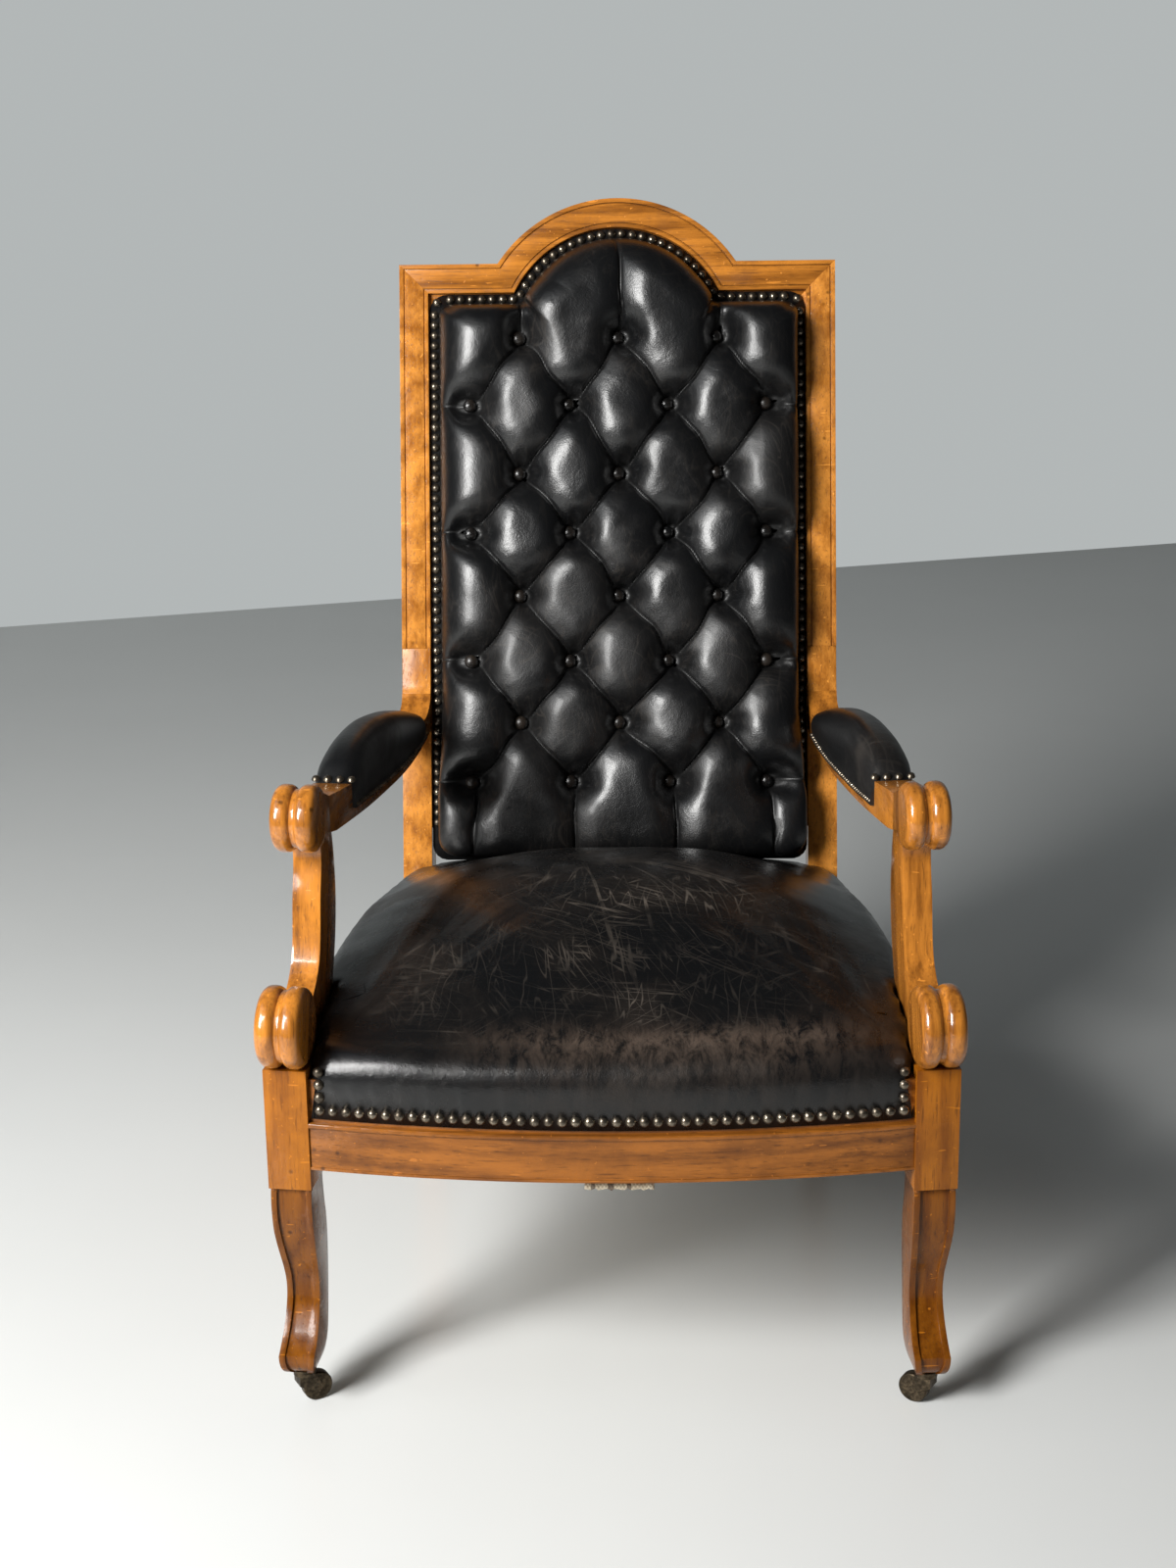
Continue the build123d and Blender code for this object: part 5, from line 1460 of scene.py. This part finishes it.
def softCopy(node, name, material, amount, size):
    # A copy of the cloth's solid with fine cells, that sags up and down a little
    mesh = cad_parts[node].data.copy()
    work = openMesh(mesh, merge["doubles"])
    for _ in range(sag["rounds"]):
        longEdges = [item for item in work.edges if item.calc_length() > sag["longest"]]
        if longEdges:
            bmesh.ops.subdivide_edges(work, edges=longEdges, cuts=1)
    bmesh.ops.triangulate(work, faces=work.faces)
    x = np.array([vert.co.x for vert in work.verts])
    y = np.array([vert.co.y + sag["heightShare"] * vert.co.z for vert in work.verts])
    for vert, lift in zip(work.verts, amount * waves(x, y, sag["seed"], size)):
        vert.co.z += float(lift)
    closeMesh(work, mesh)
    piece = showPiece(name, mesh, material, None, (node,))
    smoothByAngle(piece, smoothAngle["cloth"])


webbingEnd = {
    "middleX": 0.008,
    "width": 0.066,
    "frontY": -0.392,
    "reach": 0.0135,
    "curl": 0.003,
    "high": 0.2562,
    "drop": 0.0085,
    "bendFrom": 0.45,
    "dropPower": 1.4,
    "frays": ((0.0008, 40), (0.0005, 97)),
    "thick": 0.0012,
    "cells": (26, 8),
}


def makeWebbingEnd():
    # The frayed end of the middle strap, hanging out under the front rail
    end = webbingEnd
    cellsX, cellsY = end["cells"]
    bpy.ops.mesh.primitive_grid_add(x_subdivisions=cellsX, y_subdivisions=cellsY, size=1)
    made = bpy.context.object
    mesh = made.data.copy()
    bpy.data.objects.remove(made)
    mesh.name = "seat.webbing_end"
    for vert in mesh.vertices:
        across, along = vert.co.x, vert.co.y + 0.5
        fray = sum(depth * math.sin(rate * across) for depth, rate in end["frays"])
        bend = max(0.0, along - end["bendFrom"]) / (1 - end["bendFrom"])
        y = end["frontY"] - end["reach"] * along - end["curl"] * math.sin(bend * math.pi / 2)
        z = end["high"] - (end["drop"] + fray) * bend ** end["dropPower"]
        vert.co = (end["middleX"] + end["width"] * across, y, z)
    mesh.shade_smooth()
    piece = showPiece("seat.webbing_end", mesh, linen)
    wall = piece.modifiers.new("thickness", "SOLIDIFY")
    wall.thickness = end["thick"]
    wall.offset = 0
    applyModifiers(piece)


softCopy("seat_webbing", "seat.webbing", linen, 0.0006, 0.12)
softCopy("seat_canvas", "seat.canvas", hessian, 0.0008, 0.10)
makeWebbingEnd()
softCopy("back_webbing", "back.webbing", linen, 0.0, 0.12)
softCopy("outside_back", "back.panel", panelCloth, 0.0, 0.15)

spring = {
    "low": 0.2609,
    "high": 0.3906,
    "end": 0.036,
    "waist": 0.024,
    "waistPower": 1.6,
    "wire": 0.0018,
    "turns": 4,
    "stepsPerTurn": 28,
    "flatEnd": 0.06,
    "places": ((0, -0.110), (-0.105, -0.245), (0.105, -0.245), (-0.105, 0.025), (0.105, 0.025)),
}


def makeSpring(cx, cy):
    # One hourglass coil, with its first and last wire lying flat
    count = spring["turns"] * spring["stepsPerTurn"]
    low, high = spring["low"] + spring["wire"], spring["high"] - spring["wire"]
    curve = bpy.data.curves.new("spring", "CURVE")
    curve.dimensions = "3D"
    curve.bevel_depth = spring["wire"]
    curve.bevel_resolution = 2
    curve.use_fill_caps = True
    line = curve.splines.new("POLY")
    line.points.add(count)
    for index in range(count + 1):
        share = index / count
        angle = 2 * math.pi * spring["turns"] * share
        swell = abs(2 * share - 1) ** spring["waistPower"]
        radius = spring["waist"] + (spring["end"] - spring["waist"]) * swell
        climb = (share - spring["flatEnd"]) / (1 - 2 * spring["flatEnd"])
        rise = low + (high - low) * min(1, max(0, climb))
        line.points[index].co = (cx + radius * math.cos(angle), cy + radius * math.sin(angle), rise, 1)
    holder = bpy.data.objects.new("spring", curve)
    bpy.context.scene.collection.objects.link(holder)
    bpy.context.view_layer.update()
    mesh = bpy.data.meshes.new_from_object(holder)
    bpy.data.objects.remove(holder)
    return mesh


def makeSprings():
    work = bmesh.new()
    for cx, cy in spring["places"]:
        work.from_mesh(makeSpring(cx, cy))
    mesh = closeMesh(work, bpy.data.meshes.new("seat.springs"))
    mesh.shade_smooth()
    showPiece("seat.springs", mesh, steel, None, ("seat_springs",))


makeSprings()
for node in ("stump_dowels", "arm_dowels"):
    dressNode(node, "wood." + node, makeWood("wood_" + node, "raw"), 0.0006)
print("inner pieces ready")

stage = {
    "size": 16,
    "floor": ((0.69, 0.70, 0.69), (0.76, 0.77, 0.76)),
    "floorClouds": (1.4, 4.0, 0.5),
    "floorRough": 0.24,
    "floorSpecular": 0.35,
    "wall": ((0.42, 0.45, 0.455), (0.50, 0.53, 0.535)),
    "wallClouds": (0.8, 3.0, 0.5),
    "wallRough": 0.85,
    # The camera sees the wall evenly lit, and it gives its light back as painted
    "wallSeen": (0.45, 0.475, 0.475),
    "wallLine": ((-7.0, 1.6), (1.75, 4.6), (5.5, 3.4)),
    "wallHeight": 5,
}


def stagePaint(name, colors, clouds, rough):
    material, web, shader = newMaterial(name)
    color = web.mix(web.noise(web.place(), *clouds), *colors)
    web.fill(shader, {"Base Color": color, "Roughness": rough})
    return material, web, shader


def makeStage():
    bpy.ops.mesh.primitive_plane_add(size=stage["size"], location=(0, 0, 0))
    floor = bpy.context.object
    floor.name = "stage.floor"
    colors, clouds = stage["floor"], stage["floorClouds"]
    material, web, shader = stagePaint("paleFloor", colors, clouds, stage["floorRough"])
    web.fill(shader, {"Specular IOR Level": stage["floorSpecular"]})
    floor.data.materials.append(material)
    corners = [(x, y, z) for z in (0, stage["wallHeight"]) for x, y in stage["wallLine"]]
    mesh = bpy.data.meshes.new("stage.wall")
    mesh.from_pydata(corners, [], [(0, 1, 4, 3), (1, 2, 5, 4)])
    wall = bpy.data.objects.new("stage.wall", mesh)
    bpy.context.scene.collection.objects.link(wall)
    colors, clouds = stage["wall"], stage["wallClouds"]
    paint, web, shader = stagePaint("paleWall", colors, clouds, stage["wallRough"])
    seen = web.node("LightPath", {}).outputs["Is Camera Ray"]
    glow = web.node("Emission", {"Color": stage["wallSeen"]}).outputs[0]
    choice = web.node("MixShader", {0: seen, 1: shader.outputs[0], 2: glow})
    web.fill(web.output, {"Surface": choice.outputs[0]})
    mesh.materials.append(paint)


lights = {
    "light.window": {
        "place": (-2.0, -2.3, 2.0),
        "target": (0, 0, 0.6),
        "size": (1.1, 1.7),
        "power": 212,
        "color": (1.0, 0.995, 0.98),
    },
    "light.sky": {
        "place": (-2.3, -1.0, 3.0),
        "target": (0, 0, 0.4),
        "size": (1.8, 1.8),
        "power": 15,
        "color": (0.95, 0.98, 1.0),
    },
}
around = {"color": (0.90, 0.94, 1.0, 1), "strength": 0.032}


def softLight(name, plan):
    data = bpy.data.lights.new(name, "AREA")
    data.shape = "RECTANGLE"
    data.size, data.size_y = plan["size"]
    data.energy = plan["power"]
    data.color = plan["color"]
    holder = bpy.data.objects.new(name, data)
    holder.location = plan["place"]
    aim = Vector(plan["target"]) - Vector(plan["place"])
    holder.rotation_mode = "QUATERNION"
    holder.rotation_quaternion = aim.to_track_quat("-Z", "Y")
    bpy.context.scene.collection.objects.link(holder)


makeStage()
for name, plan in lights.items():
    softLight(name, plan)
world = bpy.data.worlds.new("world")
bpy.context.scene.world = world
world.use_nodes = True
backdrop = world.node_tree.nodes["Background"]
backdrop.inputs["Color"].default_value = around["color"]
backdrop.inputs["Strength"].default_value = around["strength"]
bpy.context.scene.view_settings.view_transform = "Standard"
print("stage ready")
